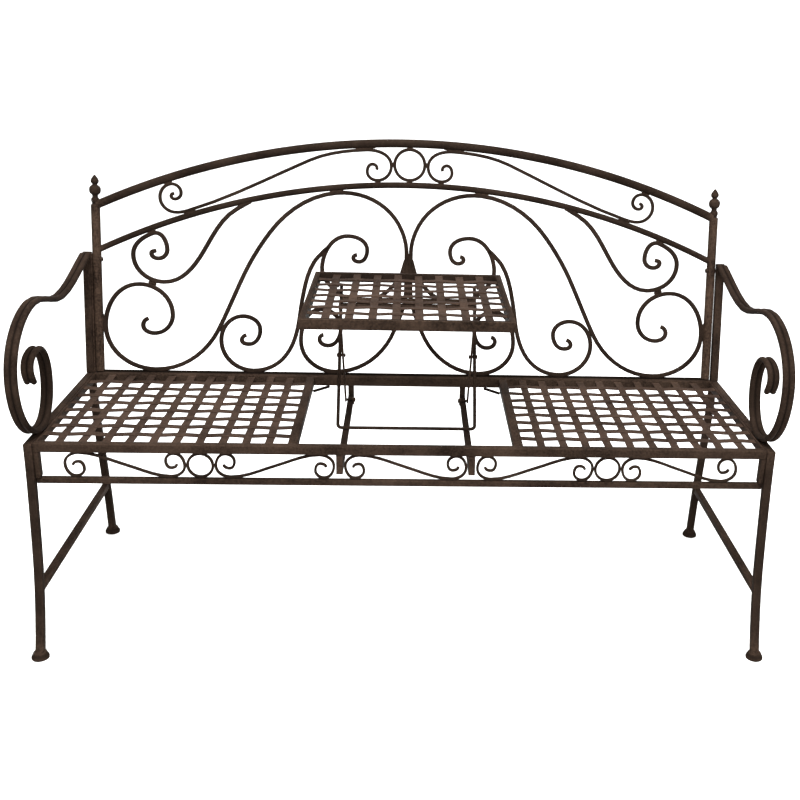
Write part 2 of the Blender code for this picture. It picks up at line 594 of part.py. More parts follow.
# Seat
def weave(name, low, high, long_at, cross_at, middle_z, parent=bench):
    """Flat strips woven over and under each other, riveted where they cross into one panel."""
    t = STRIP_THICKNESS
    bm = bmesh.new()
    blocks = {}
    for i, x in enumerate(long_at):
        for j, y in enumerate(cross_at):
            corners = [(x - LONG_STRIP_WIDTH / 2, y - CROSS_STRIP_WIDTH / 2),
                       (x + LONG_STRIP_WIDTH / 2, y - CROSS_STRIP_WIDTH / 2),
                       (x + LONG_STRIP_WIDTH / 2, y + CROSS_STRIP_WIDTH / 2),
                       (x - LONG_STRIP_WIDTH / 2, y + CROSS_STRIP_WIDTH / 2)]
            blocks[i, j] = [[bm.verts.new((*c, middle_z + k * t)) for c in corners] for k in (-1, 0, 1)]
            bm.faces.new(blocks[i, j][0])
            bm.faces.new(blocks[i, j][2])

    def half(i, j, edge, upper):
        a, b = edge, (edge + 1) % 4
        lower_ring, upper_ring = blocks[i, j][upper], blocks[i, j][upper + 1]
        return [lower_ring[a], lower_ring[b], upper_ring[b], upper_ring[a]]

    def bridge(first, second):
        for k in range(4):
            bm.faces.new((first[k], first[(k + 1) % 4], second[(k + 1) % 4], second[k]))

    def end_ring(ring, axis, place):
        verts = []
        for vert in ring:
            spot = vert.co.copy()
            spot[axis] = place
            verts.append(bm.verts.new(spot))
        return verts

    columns, rows = len(long_at), len(cross_at)
    for i in range(columns):
        for j in range(rows):
            long_level = 1 if (i + j) % 2 == 0 else 0
            for edge, axis, step, level in ((0, 1, -1, long_level), (2, 1, 1, long_level),
                                            (3, 0, -1, 1 - long_level), (1, 0, 1, 1 - long_level)):
                bm.faces.new(half(i, j, edge, 1 - level))
                ring = half(i, j, edge, level)
                ni, nj = (i + step, j) if axis == 0 else (i, j + step)
                if (ni, nj) not in blocks:
                    tip = end_ring(ring, axis, (low if step < 0 else high)[axis])
                    bridge(ring, tip)
                    bm.faces.new(tip)
                elif step > 0:
                    far = half(ni, nj, (edge + 2) % 4, 1 - level)
                    bridge(ring, [far[1], far[0], far[3], far[2]])
    add_piece(name, finish_mesh(name, bm), "weave", parent)


def make_seat():
    bottom = SEAT_TOP - SEAT_RAIL
    box("seat_front_rail", (-SEAT_END_X, SEAT_FRONT_Y, bottom), (SEAT_END_X, FRONT_INNER_Y, SEAT_TOP))
    box("seat_rear_rail", (-SEAT_END_X, REAR_INNER_Y, SEAT_TOP - REAR_RAIL_HEIGHT),
        (SEAT_END_X, REAR_INNER_Y + REAR_RAIL_DEPTH, SEAT_TOP))
    front, rear = FRONT_INNER_Y + GAP, REAR_INNER_Y - GAP
    divider = TABLE_OPENING / 2
    inner_x, outer_x = divider + DIVIDER_WIDTH + GAP, SEAT_END_X - END_RAIL_WIDTH - GAP
    rows = round(SEAT_INNER_DEPTH / WEAVE_PITCH)
    cross_at = [FRONT_INNER_Y + SEAT_INNER_DEPTH * (index + 1) / rows for index in range(rows - 1)]
    first = divider + DIVIDER_WIDTH + WEAVE_PITCH - LONG_STRIP_WIDTH / 2
    columns = int((outer_x - LONG_STRIP_WIDTH / 2 - first) / WEAVE_PITCH) + 1
    for label, side in SIDES.items():
        for name, a, b in (("seat_divider_", divider, divider + DIVIDER_WIDTH),
                           ("seat_end_rail_", SEAT_END_X - END_RAIL_WIDTH, SEAT_END_X)):
            edges = sorted((side * a, side * b))
            box(name + label, (edges[0], front, bottom), (edges[1], rear, SEAT_TOP))
        long_at = sorted(side * (first + WEAVE_PITCH * index) for index in range(columns))
        edges = sorted((side * inner_x, side * outer_x))
        low, high = (edges[0], front), (edges[1], rear)
        weave("seat_panel_" + label, low, high, long_at, cross_at, SEAT_TOP - WEAVE_SINK)


# Apron
def make_apron():
    top = SEAT_TOP - SEAT_RAIL - APRON_OPEN_HEIGHT
    box("apron_rail", (-SEAT_END_X, APRON_Y - APRON_RAIL / 2, top - APRON_RAIL),
        (SEAT_END_X, APRON_Y + APRON_RAIL / 2, top))
    for label, side in SIDES.items():
        edges = sorted((side * SEAT_END_X, side * (SEAT_END_X - APRON_POST_WIDTH)))
        box("apron_post_" + label, (edges[0], APRON_Y - SEAT_RAIL / 2, top + GAP),
            (edges[1], APRON_Y + SEAT_RAIL / 2, SEAT_TOP - SEAT_RAIL - GAP))

    half_height = (APRON_OPEN_HEIGHT - APRON_BAR) / 2 - GAP
    middle = top + APRON_OPEN_HEIGHT / 2
    section = square_section(APRON_BAR, APRON_BAR)
    plane = front_plane(APRON_Y)

    def apron_scroll(name, start, end, fall):
        centre, half = (start + end) / 2, (abs(end - start) - APRON_BAR) / 2
        h = half_height
        curl = half - h
        outward = [(curl - h * 0.164, -h, 0.0), (half, -h * 0.05, 90.0),
                   (curl + h * 0.204, h, 180.0), (curl - h * 0.491, h * 0.36, 270.0),
                   (curl - h * 0.082, -h * 0.24, 0.0), (curl + h * 0.368, h * 0.04, 80.0)]
        right = trace((0.0, 0.0, -18.0), outward)
        line = [-point for point in reversed(right[1:])] + right
        path = [Vector((centre + point.x, middle + fall * point.y)) for point in line]
        swept(name, plane, path, section, smooth=30.0)

    # The centre scroll stands between the crossbars; the others share what is left beside the ring.
    crossbar_room = CROSSBAR_WIDTH / 2 + APRON_BAR_CLEARANCE
    inner_start = CROSSBAR_X + crossbar_room
    outer_end = SEAT_END_X - APRON_POST_WIDTH - APRON_END_GAP
    ring_room = 2 * half_height + APRON_BAR + 2 * GAP
    ring_x = (inner_start + outer_end) / 2
    centre_end = CROSSBAR_X - crossbar_room
    apron_scroll("apron_scroll_centre", -centre_end, centre_end, 1)
    for label, side in SIDES.items():
        apron_scroll("apron_scroll_outer_" + label, side * (ring_x + ring_room / 2), side * outer_end, 1)
        apron_scroll("apron_scroll_inner_" + label, side * inner_start, side * (ring_x - ring_room / 2), -1)
        swept("apron_ring_" + label, plane, ring_points(side * ring_x, middle, half_height), section,
              closed=True, smooth=30.0)


# Table and its lift
def make_crossbars():
    bar = square_section(CROSSBAR_WIDTH, CROSSBAR_WIDTH)
    level = CROSSBAR_TOP - CROSSBAR_WIDTH / 2
    front_top, rear_top = SEAT_TOP - SEAT_RAIL - GAP, SEAT_TOP - REAR_RAIL_HEIGHT - GAP
    path = [Vector(spot) for spot in ((APRON_Y, front_top), (APRON_Y, level),
                                      (REAR_RAIL_Y, level), (REAR_RAIL_Y, rear_top))]
    for label, side in SIDES.items():
        crossbar = swept("lift_crossbar_" + label, side_plane(side * CROSSBAR_X), path, bar, "lift")
        # The pin turns in an ear welded to the inner side of the crossbar.
        face = CROSSBAR_X - CROSSBAR_WIDTH / 2
        edges = sorted((side * (face + WELD_DEPTH), side * (face - LUG_THICKNESS)))
        half = LIFT_PIN_HEAD / 2
        ear = box("pin_ear", (edges[0], LIFT_PIN_Y - half, level),
                  (edges[1], LIFT_PIN_Y + half, LIFT_PIN_Z + half), "lift")
        fuse(crossbar, [ear])
        cut_hole(crossbar, (side * CROSSBAR_X, LIFT_PIN_Y, LIFT_PIN_Z), LIFT_PIN_DIAMETER + 2 * GAP)

        # Rods across the rear corners of the opening carry the table when it is down.
        corner = Vector((side * TABLE_OPENING / 2, REAR_INNER_Y))
        rest_z = SEAT_TOP - TABLE_FRAME_HEIGHT - GAP - REST_ROD / 2
        start = corner + Vector((-side * GAP, -REST_REACH))
        end = corner + Vector((-side * REST_REACH, -GAP))

        def flat(u, v, w=0.0):
            return Vector((u, v, rest_z + w))
        swept("table_rest_" + label, flat, [start, end], round_section(REST_ROD, ROD_SIDES), "lift",
              smooth=50.0, cuts=(0.0 if side < 0 else 180.0, 90.0))


def cut_hole(piece, middle, diameter, length=0.05):
    """Bore a hole along X through a piece."""
    bm = bmesh.new()
    place = Vector(middle) - Vector((length / 2, 0, 0))
    turned(bm, [(0.0, diameter / 2), (length, diameter / 2)], place, (1, 0, 0))
    cutter = add_piece("hole_cutter", finish_mesh("hole_cutter", bm), parent=bench)
    bore = piece.modifiers.new("bore", "BOOLEAN")
    bore.operation = "DIFFERENCE"
    bore.solver = "EXACT"
    bore.object = cutter
    bpy.context.view_layer.update()
    bored = bpy.data.meshes.new_from_object(piece.evaluated_get(bpy.context.evaluated_depsgraph_get()))
    piece.modifiers.clear()
    piece.data = bored
    bpy.data.objects.remove(cutter, do_unlink=True)


def pin_piece(name, ends, place, parent):
    """A round pin along X through (start, radius) steps."""
    bm = bmesh.new()
    turned(bm, ends, place, (1, 0, 0))
    return add_piece(name, finish_mesh(name, bm), "lift", parent, smooth=40.0)


def make_lift():
    low = Vector((LIFT_PIN_Y, LIFT_PIN_Z))
    high = Vector((LIFT_PIN_Y - LIFT_SPREAD, LIFT_PIN_Z + LIFT_RISE))
    along = (high - low).normalized()
    arm_path = [low - along * LIFT_ARM_WIDTH / 2, high + along * LIFT_ARM_WIDTH / 2]
    knob = (low + high) / 2
    knob_hole = LIFT_PIN_DIAMETER + 2 * GAP
    for label, side in SIDES.items():
        arm = swept("lift_arm_" + label, side_plane(side * LIFT_ARM_X), arm_path,
                    square_section(LIFT_ARM_WIDTH, LIFT_ARM_THICKNESS), "lift", lift_axis)
        cut_hole(arm, (side * LIFT_ARM_X, knob.x, knob.y), knob_hole)
        # The pin is riveted in the arm, crosses the bar and turns in the ear.
        inner = CROSSBAR_X - CROSSBAR_WIDTH / 2 - LUG_THICKNESS - GAP
        outer = LIFT_ARM_X + LIFT_ARM_THICKNESS / 4
        r, head = LIFT_PIN_DIAMETER / 2, LIFT_PIN_HEAD / 2
        steps = [(inner - PIN_HEAD_HEIGHT, head), (inner, head), (inner, r), (outer, r)]
        if side < 0:
            steps = [(-spot, radius) for spot, radius in reversed(steps)]
        pin = pin_piece("lift_pin", steps, (0.0, LIFT_PIN_Y, LIFT_PIN_Z), lift_axis)
        fuse(arm, [pin])


def make_prop_rod():
    """One rod bent to a U: its bottom lies on the crossbars, its upper ends turn in the table's lugs."""
    base = Vector((0.0, LIFT_PIN_Y - LIFT_SPREAD, LIFT_PIN_Z))
    along = Vector((0.0, LIFT_SPREAD, LIFT_RISE)).normalized()
    normal = Vector((1, 0, 0)).cross(along)
    length = hypot(LIFT_SPREAD, LIFT_RISE)
    tip = LUG_X + LUG_THICKNESS + PIN_HEAD_HEIGHT

    def tilted(u, v, w=0.0):
        return base + Vector((u, 0, 0)) + along * v + normal * w

    half = trace((0.0, 0.0, 0.0), [(PROP_X - PROP_BEND, 0.0, 0.0), (PROP_X, PROP_BEND, 90.0),
                                   (PROP_X, length - PROP_ROD, 90.0)])[1:]
    half += [Vector((PROP_X, length)), Vector((tip, length))]
    path = [Vector((-spot.x, spot.y)) for spot in reversed(half)] + half
    rod = swept("prop_rod", tilted, path, round_section(PROP_ROD, ROD_SIDES), "lift", knob_axis, smooth=50.0)
    # Rivets hold the rod to the two lift arms where they cross.
    knob = base + along * length / 2
    inner = LIFT_ARM_X - LIFT_ARM_THICKNESS / 2 - SIDE_CLEARANCE
    outer = PROP_X + PROP_ROD / 2
    r, head = LIFT_PIN_DIAMETER / 2, LIFT_PIN_HEAD / 2
    rivet = [(inner - PIN_HEAD_HEIGHT, r), (inner, head), (inner, r),
             (outer, r), (outer, head), (outer + PIN_HEAD_HEIGHT, r)]
    for side in SIDES.values():
        steps = rivet if side > 0 else [(-spot, radius) for spot, radius in reversed(rivet)]
        fuse(rod, [pin_piece("knob", steps, knob, knob_axis)])


def make_table():
    top, bottom = TABLE_TOP_RAISED, TABLE_TOP_RAISED - TABLE_FRAME_HEIGHT
    rear_y = TABLE_FRONT_Y + TABLE_DEPTH
    edge = TABLE_FRAME_WIDTH / 2
    side_x = TABLE_WIDTH / 2

    def flat(u, v, w=0.0):
        return Vector((u, v, (top + bottom) / 2 + w))

    middle_x, near, far = side_x - edge, TABLE_FRONT_Y + edge, rear_y - edge
    spots = ((-middle_x, near), (middle_x, near), (middle_x, far), (-middle_x, far))
    corners = [Vector(spot) for spot in spots]
    frame = swept("table_frame", flat, corners, square_section(TABLE_FRAME_WIDTH, TABLE_FRAME_HEIGHT),
                  parent=table_axis, closed=True)
    pivot_z = top - TABLE_PIVOT_DROP
    half = LIFT_PIN_HEAD / 2 + GAP
    for side in SIDES.values():
        edges = sorted((side * LUG_X, side * (LUG_X + LUG_THICKNESS)))
        lug = box("pivot_lug", (edges[0], LIFT_PIN_Y - half, pivot_z - half),
                  (edges[1], far, bottom + WELD_DEPTH), "lift", table_axis)
        fuse(frame, [lug])
        cut_hole(frame, (side * (LUG_X + LUG_THICKNESS / 2), LIFT_PIN_Y, pivot_z), PROP_ROD + 2 * GAP,
                 LUG_THICKNESS * 3)

    inner_x = side_x - TABLE_FRAME_WIDTH - GAP
    front, rear = TABLE_FRONT_Y + TABLE_FRAME_WIDTH, rear_y - TABLE_FRAME_WIDTH
    rows = round((rear - front) / WEAVE_PITCH)
    cross_at = [front + (rear - front) * (index + 1) / rows for index in range(rows - 1)]
    long_at = [(index - (TABLE_STRIPS - 1) / 2) * WEAVE_PITCH for index in range(TABLE_STRIPS)]
    weave("table_panel", (-inner_x, front + GAP), (inner_x, rear - GAP), long_at, cross_at, top - WEAVE_SINK,
          table_axis)

    brace_z = top - WEAVE_SINK - STRIP_THICKNESS - GAP - BRACE_DIAMETER / 2
    for label, step in (("front", -0.5), ("rear", 0.5)):
        path = [Vector((-BRACE_LENGTH / 2, brace_z)), Vector((BRACE_LENGTH / 2, brace_z))]
        swept("table_brace_" + label, front_plane(BRACE_Y + step * BRACE_SPACING), path,
              round_section(BRACE_DIAMETER, ROD_SIDES), "lift", table_axis, smooth=50.0)


make_back()
for side_label, side_sign in SIDES.items():
    make_side_frame(side_label, side_sign)
make_seat()
make_apron()
make_crossbars()
make_lift()
make_prop_rod()
make_table()
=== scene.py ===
from math import atan2, ceil, cos, degrees, hypot, pi, radians, sin, sqrt, tan

import bmesh
import bpy
from mathutils import Matrix, Vector


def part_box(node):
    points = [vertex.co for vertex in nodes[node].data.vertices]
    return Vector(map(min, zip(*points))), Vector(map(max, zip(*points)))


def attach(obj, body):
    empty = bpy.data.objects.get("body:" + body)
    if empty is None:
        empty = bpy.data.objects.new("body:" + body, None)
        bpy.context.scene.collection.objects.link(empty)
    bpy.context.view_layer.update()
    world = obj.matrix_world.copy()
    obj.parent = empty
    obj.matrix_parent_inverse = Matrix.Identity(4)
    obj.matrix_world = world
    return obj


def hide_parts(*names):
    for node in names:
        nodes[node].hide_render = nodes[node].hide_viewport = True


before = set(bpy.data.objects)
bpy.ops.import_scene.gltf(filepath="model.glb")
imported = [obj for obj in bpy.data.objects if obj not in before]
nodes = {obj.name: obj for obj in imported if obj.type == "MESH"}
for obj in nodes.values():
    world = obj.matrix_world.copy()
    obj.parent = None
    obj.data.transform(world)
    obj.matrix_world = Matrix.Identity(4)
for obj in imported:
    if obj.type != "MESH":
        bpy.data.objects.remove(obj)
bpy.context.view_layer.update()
sides = {"left": -1, "right": 1}
print("frame loaded:", len(nodes), "nodes")


# Shader wires: expressions on values add Math nodes
class Wire:
    def __init__(self, tree, socket=None):
        self.tree = tree
        self.socket = socket

    def node(self, kind, settings=None, inputs=None, out=0):
        made = self.tree.nodes.new(kind)
        for key, value in (settings or {}).items():
            if key == "stops":
                for spot, stop in zip(value, made.color_ramp.elements):
                    stop.position, stop.color = spot[0], (spot[1], spot[1], spot[1], 1.0)
            else:
                setattr(made, key, value)
        for key, value in (inputs or {}).items():
            if isinstance(value, Wire):
                self.tree.links.new(value.socket, made.inputs[key])
            else:
                made.inputs[key].default_value = value
        return Wire(self.tree, made.outputs[out])

    def calc(self, operation, first, second):
        return self.node("ShaderNodeMath", {"operation": operation}, {0: first, 1: second})

    def __add__(self, other):
        return self.calc("ADD", self, other)

    def __sub__(self, other):
        return self.calc("SUBTRACT", self, other)

    def __rsub__(self, other):
        return self.calc("SUBTRACT", other, self)

    def __mul__(self, other):
        return self.calc("MULTIPLY", self, other)

    __radd__ = __add__
    __rmul__ = __mul__

    def blend(self, low, high):
        colours = {0: self, 6: low, 7: high}
        return self.node("ShaderNodeMix", {"data_type": "RGBA"}, colours, 2)

    def feed(self, shader, socket):
        self.tree.links.new(self.socket, shader.inputs[socket])


# Paints: one brown powder coat, lighter on the weave, with a darker copy as painted shade in grooves and
# shaded places
framePaint = {
    "deep": (0.0056, 0.0037, 0.0028, 1.0), "warm": (0.0134, 0.0090, 0.0067, 1.0),
    "rub": (0.062, 0.039, 0.027, 1.0), "dust": (0.046, 0.029, 0.021, 1.0),
    "sheen": (1.0, 0.74, 0.56, 1.0),
    "cloudScale": 11.0, "grainScale": 240.0, "peelScale": 900.0,
    "rough": 0.40, "roughSwing": 0.16, "rubShare": 0.75, "dustShare": 0.10, "peelDepth": 0.00022,
    "gloss": 0.003, "bumpStrength": 0.55, "dustRough": 0.6, "rubSmooth": 0.12,
    "toneStops": ((0.32, 0.0), (0.70, 1.0)), "edgeStops": ((0.515, 0.0), (0.60, 1.0)),
    "patchStops": ((0.38, 0.0), (0.66, 1.0)), "lyingStops": ((0.55, 0.0), (1.0, 1.0)),
    "cloudInTone": 0.72, "grainInTone": 0.28, "evenShare": 0.5,
    "peelHeight": 0.6, "grainHeight": 0.3, "pockHeight": 0.25, "pockScale": 0.6,
}
weavePaint = dict(framePaint, deep=(0.0090, 0.0058, 0.0045, 1.0), warm=(0.0232, 0.0152, 0.0115, 1.0),
                  rough=0.38, rubShare=0.9, dustShare=0.14)
liftPaint = dict(framePaint, deep=(0.0056, 0.0037, 0.0028, 1.0), warm=(0.0135, 0.0090, 0.0066, 1.0),
                 rough=0.44, dustShare=0.05)
# painted shade: a near-black copy of the coat for dark bars and strips set where shade falls
shadePaint = dict(framePaint, deep=(0.0034, 0.0024, 0.0019, 1.0), warm=(0.0080, 0.0055, 0.0042, 1.0),
                   rough=0.60, rubShare=0.0, dustShare=0.0)


def paintedIron(name, look):
    material = bpy.data.materials.new(name)
    material.use_nodes = True
    tree = material.node_tree
    shader = tree.nodes["Principled BSDF"]
    wire = Wire(tree)
    place = wire.node("ShaderNodeTexCoord", out="Object")
    cloud = wire.node("ShaderNodeTexNoise", None, {
        "Vector": place, "Scale": look["cloudScale"], "Detail": 5.0, "Roughness": 0.62})
    grain = wire.node("ShaderNodeTexNoise", None, {
        "Vector": place, "Scale": look["grainScale"], "Detail": 3.0, "Roughness": 0.55})
    peel = wire.node("ShaderNodeTexNoise", None, {
        "Vector": place, "Scale": look["peelScale"], "Detail": 1.0, "Roughness": 0.4})
    pocks = wire.node("ShaderNodeTexVoronoi", None, {
        "Vector": place, "Scale": look["grainScale"] * look["pockScale"]})
    # paint clouds, and a finer mottle inside them
    tone = wire.node("ShaderNodeValToRGB", {"stops": look["toneStops"]},
                     {0: cloud * look["cloudInTone"] + grain * look["grainInTone"]})
    colour = tone.blend(look["deep"], look["warm"])
    # rubbed edges: bent outwards, broken up by the grain
    bend = wire.node("ShaderNodeNewGeometry", out="Pointiness")
    edge = wire.node("ShaderNodeValToRGB", {"stops": look["edgeStops"]}, {0: bend})
    patch = wire.node("ShaderNodeValToRGB", {"stops": look["patchStops"]},
                      {0: cloud * look["evenShare"] + grain * look["evenShare"]})
    rub = edge * patch * look["rubShare"]
    colour = rub.blend(colour, look["rub"])
    # a breath of dust where the surface looks up
    facing = wire.node("ShaderNodeNewGeometry", out="Normal")
    upward = wire.node("ShaderNodeSeparateXYZ", None, {0: facing}, "Z")
    lying = wire.node("ShaderNodeValToRGB", {"stops": look["lyingStops"]}, {0: upward})
    dust = lying * patch * look["dustShare"]
    dust.blend(colour, look["dust"]).feed(shader, "Base Color")
    rough = look["rough"] + cloud * look["roughSwing"] + dust * look["dustRough"] - rub * look["rubSmooth"]
    rough.feed(shader, "Roughness")
    height = peel * look["peelHeight"] + grain * look["grainHeight"] + pocks * look["pockHeight"]
    bump = wire.node("ShaderNodeBump", None, {
        "Strength": look["bumpStrength"], "Distance": look["peelDepth"], "Height": height})
    bump.feed(shader, "Normal")
    shader.inputs["Specular IOR Level"].default_value = look["gloss"]
    shader.inputs["Specular Tint"].default_value = look["sheen"]
    return material


paints = {
    "frame_paint": paintedIron("framePaint", framePaint),
    "weave_paint": paintedIron("weavePaint", weavePaint),
    "lift_paint": paintedIron("liftPaint", liftPaint),
    # painted shade: the groove and rest paints are the dark shade copy of the coat
    "painted_shade": paintedIron("shadePaint", shadePaint),
    "rest_painted_shade": paintedIron("restPaintedShade", shadePaint),
}
print("paints mixed:", len(paints))


# Places: planes that bars lie in
bench = {
    "seatTop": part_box("seat_front_rail")[1].z,
    "frontAxis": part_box("seat_front_rail")[0].y + 0.0045,  # middle of the front legs' tops
    "backSet": 0.427,                                      # back plane behind that axis, at the seat
    "recline": radians(11.9),
    "sideX": 0.7215, "postX": 0.7019, "bendStep": 7.0,
}
backY = bench["frontAxis"] + bench["backSet"]


def backPlace(side=-1):
    lean, top = bench["recline"], bench["seatTop"]
    return lambda u, v, w=0.0: Vector((-side * u, backY + v * sin(lean) + w * cos(lean),
                                       top + v * cos(lean) - w * sin(lean)))


def sidePlace(x):
    return lambda u, v, w=0.0: Vector((x + w, bench["frontAxis"] + u, v))


def frontPlace(y):
    return lambda u, v, w=0.0: Vector((u, y + w, v))


def heading(angle):
    return Vector((cos(radians(angle)), sin(radians(angle))))


# Paths: smooth bends through stops (u, v, heading)
def trace(start, stops, step=None):
    points = [Vector(start[:2])]
    for here, there in zip([start] + stops[:-1], stops):
        a, b = Vector(here[:2]), Vector(there[:2])
        bend = (there[2] - here[2] + 180.0) % 360.0 - 180.0
        reach = (b - a).length / (3.0 * cos(radians(bend / 4)) ** 2)
        handleA = a + heading(here[2]) * reach
        handleB = b - heading(there[2]) * reach
        count = max(5, ceil(abs(bend) / (step or bench["bendStep"])))
        for index in range(1, count + 1):
            t = index / count
            points.append(a * (1 - t) ** 3 + handleA * (3 * t * (1 - t) ** 2)
                          + handleB * (3 * t * t * (1 - t)) + b * t ** 3)
    return points


def softBar(width, depth, radius, steps=3):
    corners = ((1, 1, 0.0), (-1, 1, 90.0), (-1, -1, 180.0), (1, -1, 270.0))
    section = []
    for across, deep, angle in corners:
        middle = Vector((across * (width / 2 - radius), deep * (depth / 2 - radius)))
        for index in range(steps + 1):
            section.append(middle + heading(angle + 90.0 * index / steps) * radius)
    return section


def roundBar(diameter, count=16):
    return [heading(360.0 * index / count) * diameter / 2 for index in range(count)]


def domed(diameter, steps=4):
    angles = [radians(84.0 * (index + 1) / steps) for index in range(steps)]
    return [(sin(angle) * diameter / 2, cos(angle)) for angle in angles]


def chamfered(width, cut=0.0012):
    return [(cut * 0.6, 1 - cut * 0.6 / width), (cut, 1 - cut * 2 / width)]


# Meshes: every one is a closed skin
def stitch(bm, rings, closed=False):
    pairs = list(zip(rings, rings[1:])) + ([(rings[-1], rings[0])] if closed else [])
    for first, second in pairs:
        count = len(first)
        for k in range(count):
            after = (k + 1) % count
            bm.faces.new((first[k], first[after], second[after], second[k]))
    if not closed:
        bm.faces.new(rings[0])
        bm.faces.new(rings[-1])


def sweep(bm, place, points, section, closed=False, caps=(None, None)):
    rings = []
    last = len(points) - 1

    def ring(point, across, size=1.0):
        spots = [(point + across * offset.x * size, offset.y * size) for offset in section]
        return [bm.verts.new(place(spot.x, spot.y, depth)) for spot, depth in spots]

    for index, point in enumerate(points):
        before = points[index - 1] if index or closed else None
        after = points[(index + 1) % len(points)] if index < last or closed else None
        into = (point - before).normalized() if before is not None else (after - point).normalized()
        out = (after - point).normalized() if after is not None else into
        along = (into + out).normalized()
        across = Vector((-along.y, along.x)) / max(0.4, along.dot(into))
        if index == 0 and caps[0]:
            rings += [ring(point - out * reach, across, size) for reach, size in reversed(caps[0])]
        rings.append(ring(point, across))
        if index == last and caps[1]:
            rings += [ring(point + into * reach, across, size) for reach, size in caps[1]]
    stitch(bm, rings, closed)


def turn(bm, profile, base, direction, count=28):
    tilt = Vector((0, 0, 1)).rotation_difference(Vector(direction)).to_matrix()
    rings = []
    for height, radius in profile:
        spots = [heading(360.0 * index / count) * radius for index in range(count)]
        rings.append([bm.verts.new(Vector(base) + tilt @ Vector((spot.x, spot.y, height)))
                      for spot in spots])
    stitch(bm, rings)


def dress(name, bm, body, paint="frame_paint", stands=(), crease=38.0):
    bmesh.ops.recalc_face_normals(bm, faces=bm.faces)
    mesh = bpy.data.meshes.new(name)
    bm.to_mesh(mesh)
    bm.free()
    piece = bpy.data.objects.new(name, mesh)
    bpy.context.scene.collection.objects.link(piece)
    mesh.materials.append(paints[paint])
    mesh.shade_smooth()
    mesh.set_sharp_from_angle(angle=radians(crease))
    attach(piece, body)
    if stands:
        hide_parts(*stands)
    return piece


def bar(name, place, points, section, body="bench", paint="frame_paint", stands=(), **how):
    bm = bmesh.new()
    sweep(bm, place, points, section, **how)
    return dress(name, bm, body, paint, stands)


# Straight tubes: the frame's own solids with their edges rounded
tubes = {
    "edge": 0.0016, "steps": 3, "merge": 0.00002, "flat": 1.0, "sharp": 40.0, "crease": 50.0,
    "crisp": {"stretcher_left": 0.0006, "stretcher_right": 0.0006},
    "names": ["side_rail_left", "side_rail_right", "stretcher_left", "stretcher_right", "arm_upright_left",
              "arm_upright_right", "seat_front_rail", "seat_rear_rail", "seat_end_rail_left",
              "seat_end_rail_right", "seat_divider_left", "seat_divider_right", "apron_rail",
              "apron_post_left", "apron_post_right"],
}


def roundedCopy(node, name, body, paint, edge, steps):
    bm = bmesh.new()
    bm.from_mesh(nodes[node].data)
    bmesh.ops.remove_doubles(bm, verts=bm.verts, dist=tubes["merge"])
    bmesh.ops.dissolve_limit(bm, angle_limit=radians(tubes["flat"]), verts=bm.verts, edges=bm.edges)
    sharp = [line for line in bm.edges
             if line.is_manifold and line.calc_face_angle() > radians(tubes["sharp"])]
    bmesh.ops.bevel(bm, geom=sharp, offset=edge, segments=steps, profile=0.5, affect="EDGES",
                    clamp_overlap=True)
    return dress(name, bm, body, paint, [node], crease=tubes["crease"])


for node in tubes["names"]:
    edge = tubes["crisp"].get(node, tubes["edge"])
    roundedCopy(node, "tube_" + node, "bench", "frame_paint", edge, tubes["steps"])
print("tubes rounded:", len(tubes["names"]))


# Side frames: bowed legs on bell feet
leg = {
    "width": 0.0163, "edge": 0.0024, "footReach": 0.069, "rearAt": 0.423, "rearReach": 0.046,
    "tubeFoot": 0.005, "topInset": 0.0016, "rearLap": 0.001, "bendStep": 3.0,
    "foot": ((0.0, 0.0159), (0.0006, 0.0169), (0.0016, 0.0173), (0.0044, 0.0173), (0.0058, 0.0167),
             (0.0078, 0.0154), (0.0100, 0.0142), (0.0124, 0.0134), (0.0142, 0.0122)),
}


def makeLegs(label, side):
    x = side * bench["sideX"]
    railZ = bench["seatTop"] - leg["width"] / 2
    section = softBar(leg["width"], leg["width"], leg["edge"])
    front = trace((-leg["footReach"], leg["tubeFoot"], 70.0),
                  [(-leg["footReach"] * 0.25, railZ * 0.52, 84.0),
                   (0.0, bench["seatTop"] - leg["topInset"], 89.0)], leg["bendStep"])
    rearTop = bench["seatTop"] - leg["width"] + leg["rearLap"]
    rear = trace((leg["rearAt"] + leg["rearReach"], leg["tubeFoot"], 95.0),
                 [(leg["rearAt"] + leg["rearReach"] * 0.75, railZ * 0.3, 98.0),
                  (leg["rearAt"], rearTop, 92.0)], leg["bendStep"])
    for name, path in (("front_leg_", front), ("rear_leg_", rear)):
        bm = bmesh.new()
        sweep(bm, sidePlace(x), path, section, caps=(None, chamfered(leg["width"])))
        turn(bm, leg["foot"], (x, bench["frontAxis"] + path[0].x, 0.0), (0, 0, 1))
        dress("bowed_" + name + label, bm, "bench", stands=[name + label])


for label, side in sides.items():
    makeLegs(label, side)
print("legs done")


# Arms: twin rods, bowed forward and curled inside
arm = {
    "rod": 0.012, "spacing": 0.0128, "uprightLength": 0.272, "uprightFoot": 0.421, "rearGap": 0.021,
    "frontReach": 0.045, "curlRear": 0.137, "shadeHigh": 0.58, "shadeWide": 0.28, "shadeEdge": 0.0004,
    "gap": 0.0003, "tie": 0.26, "bendStep": 5.0,
}


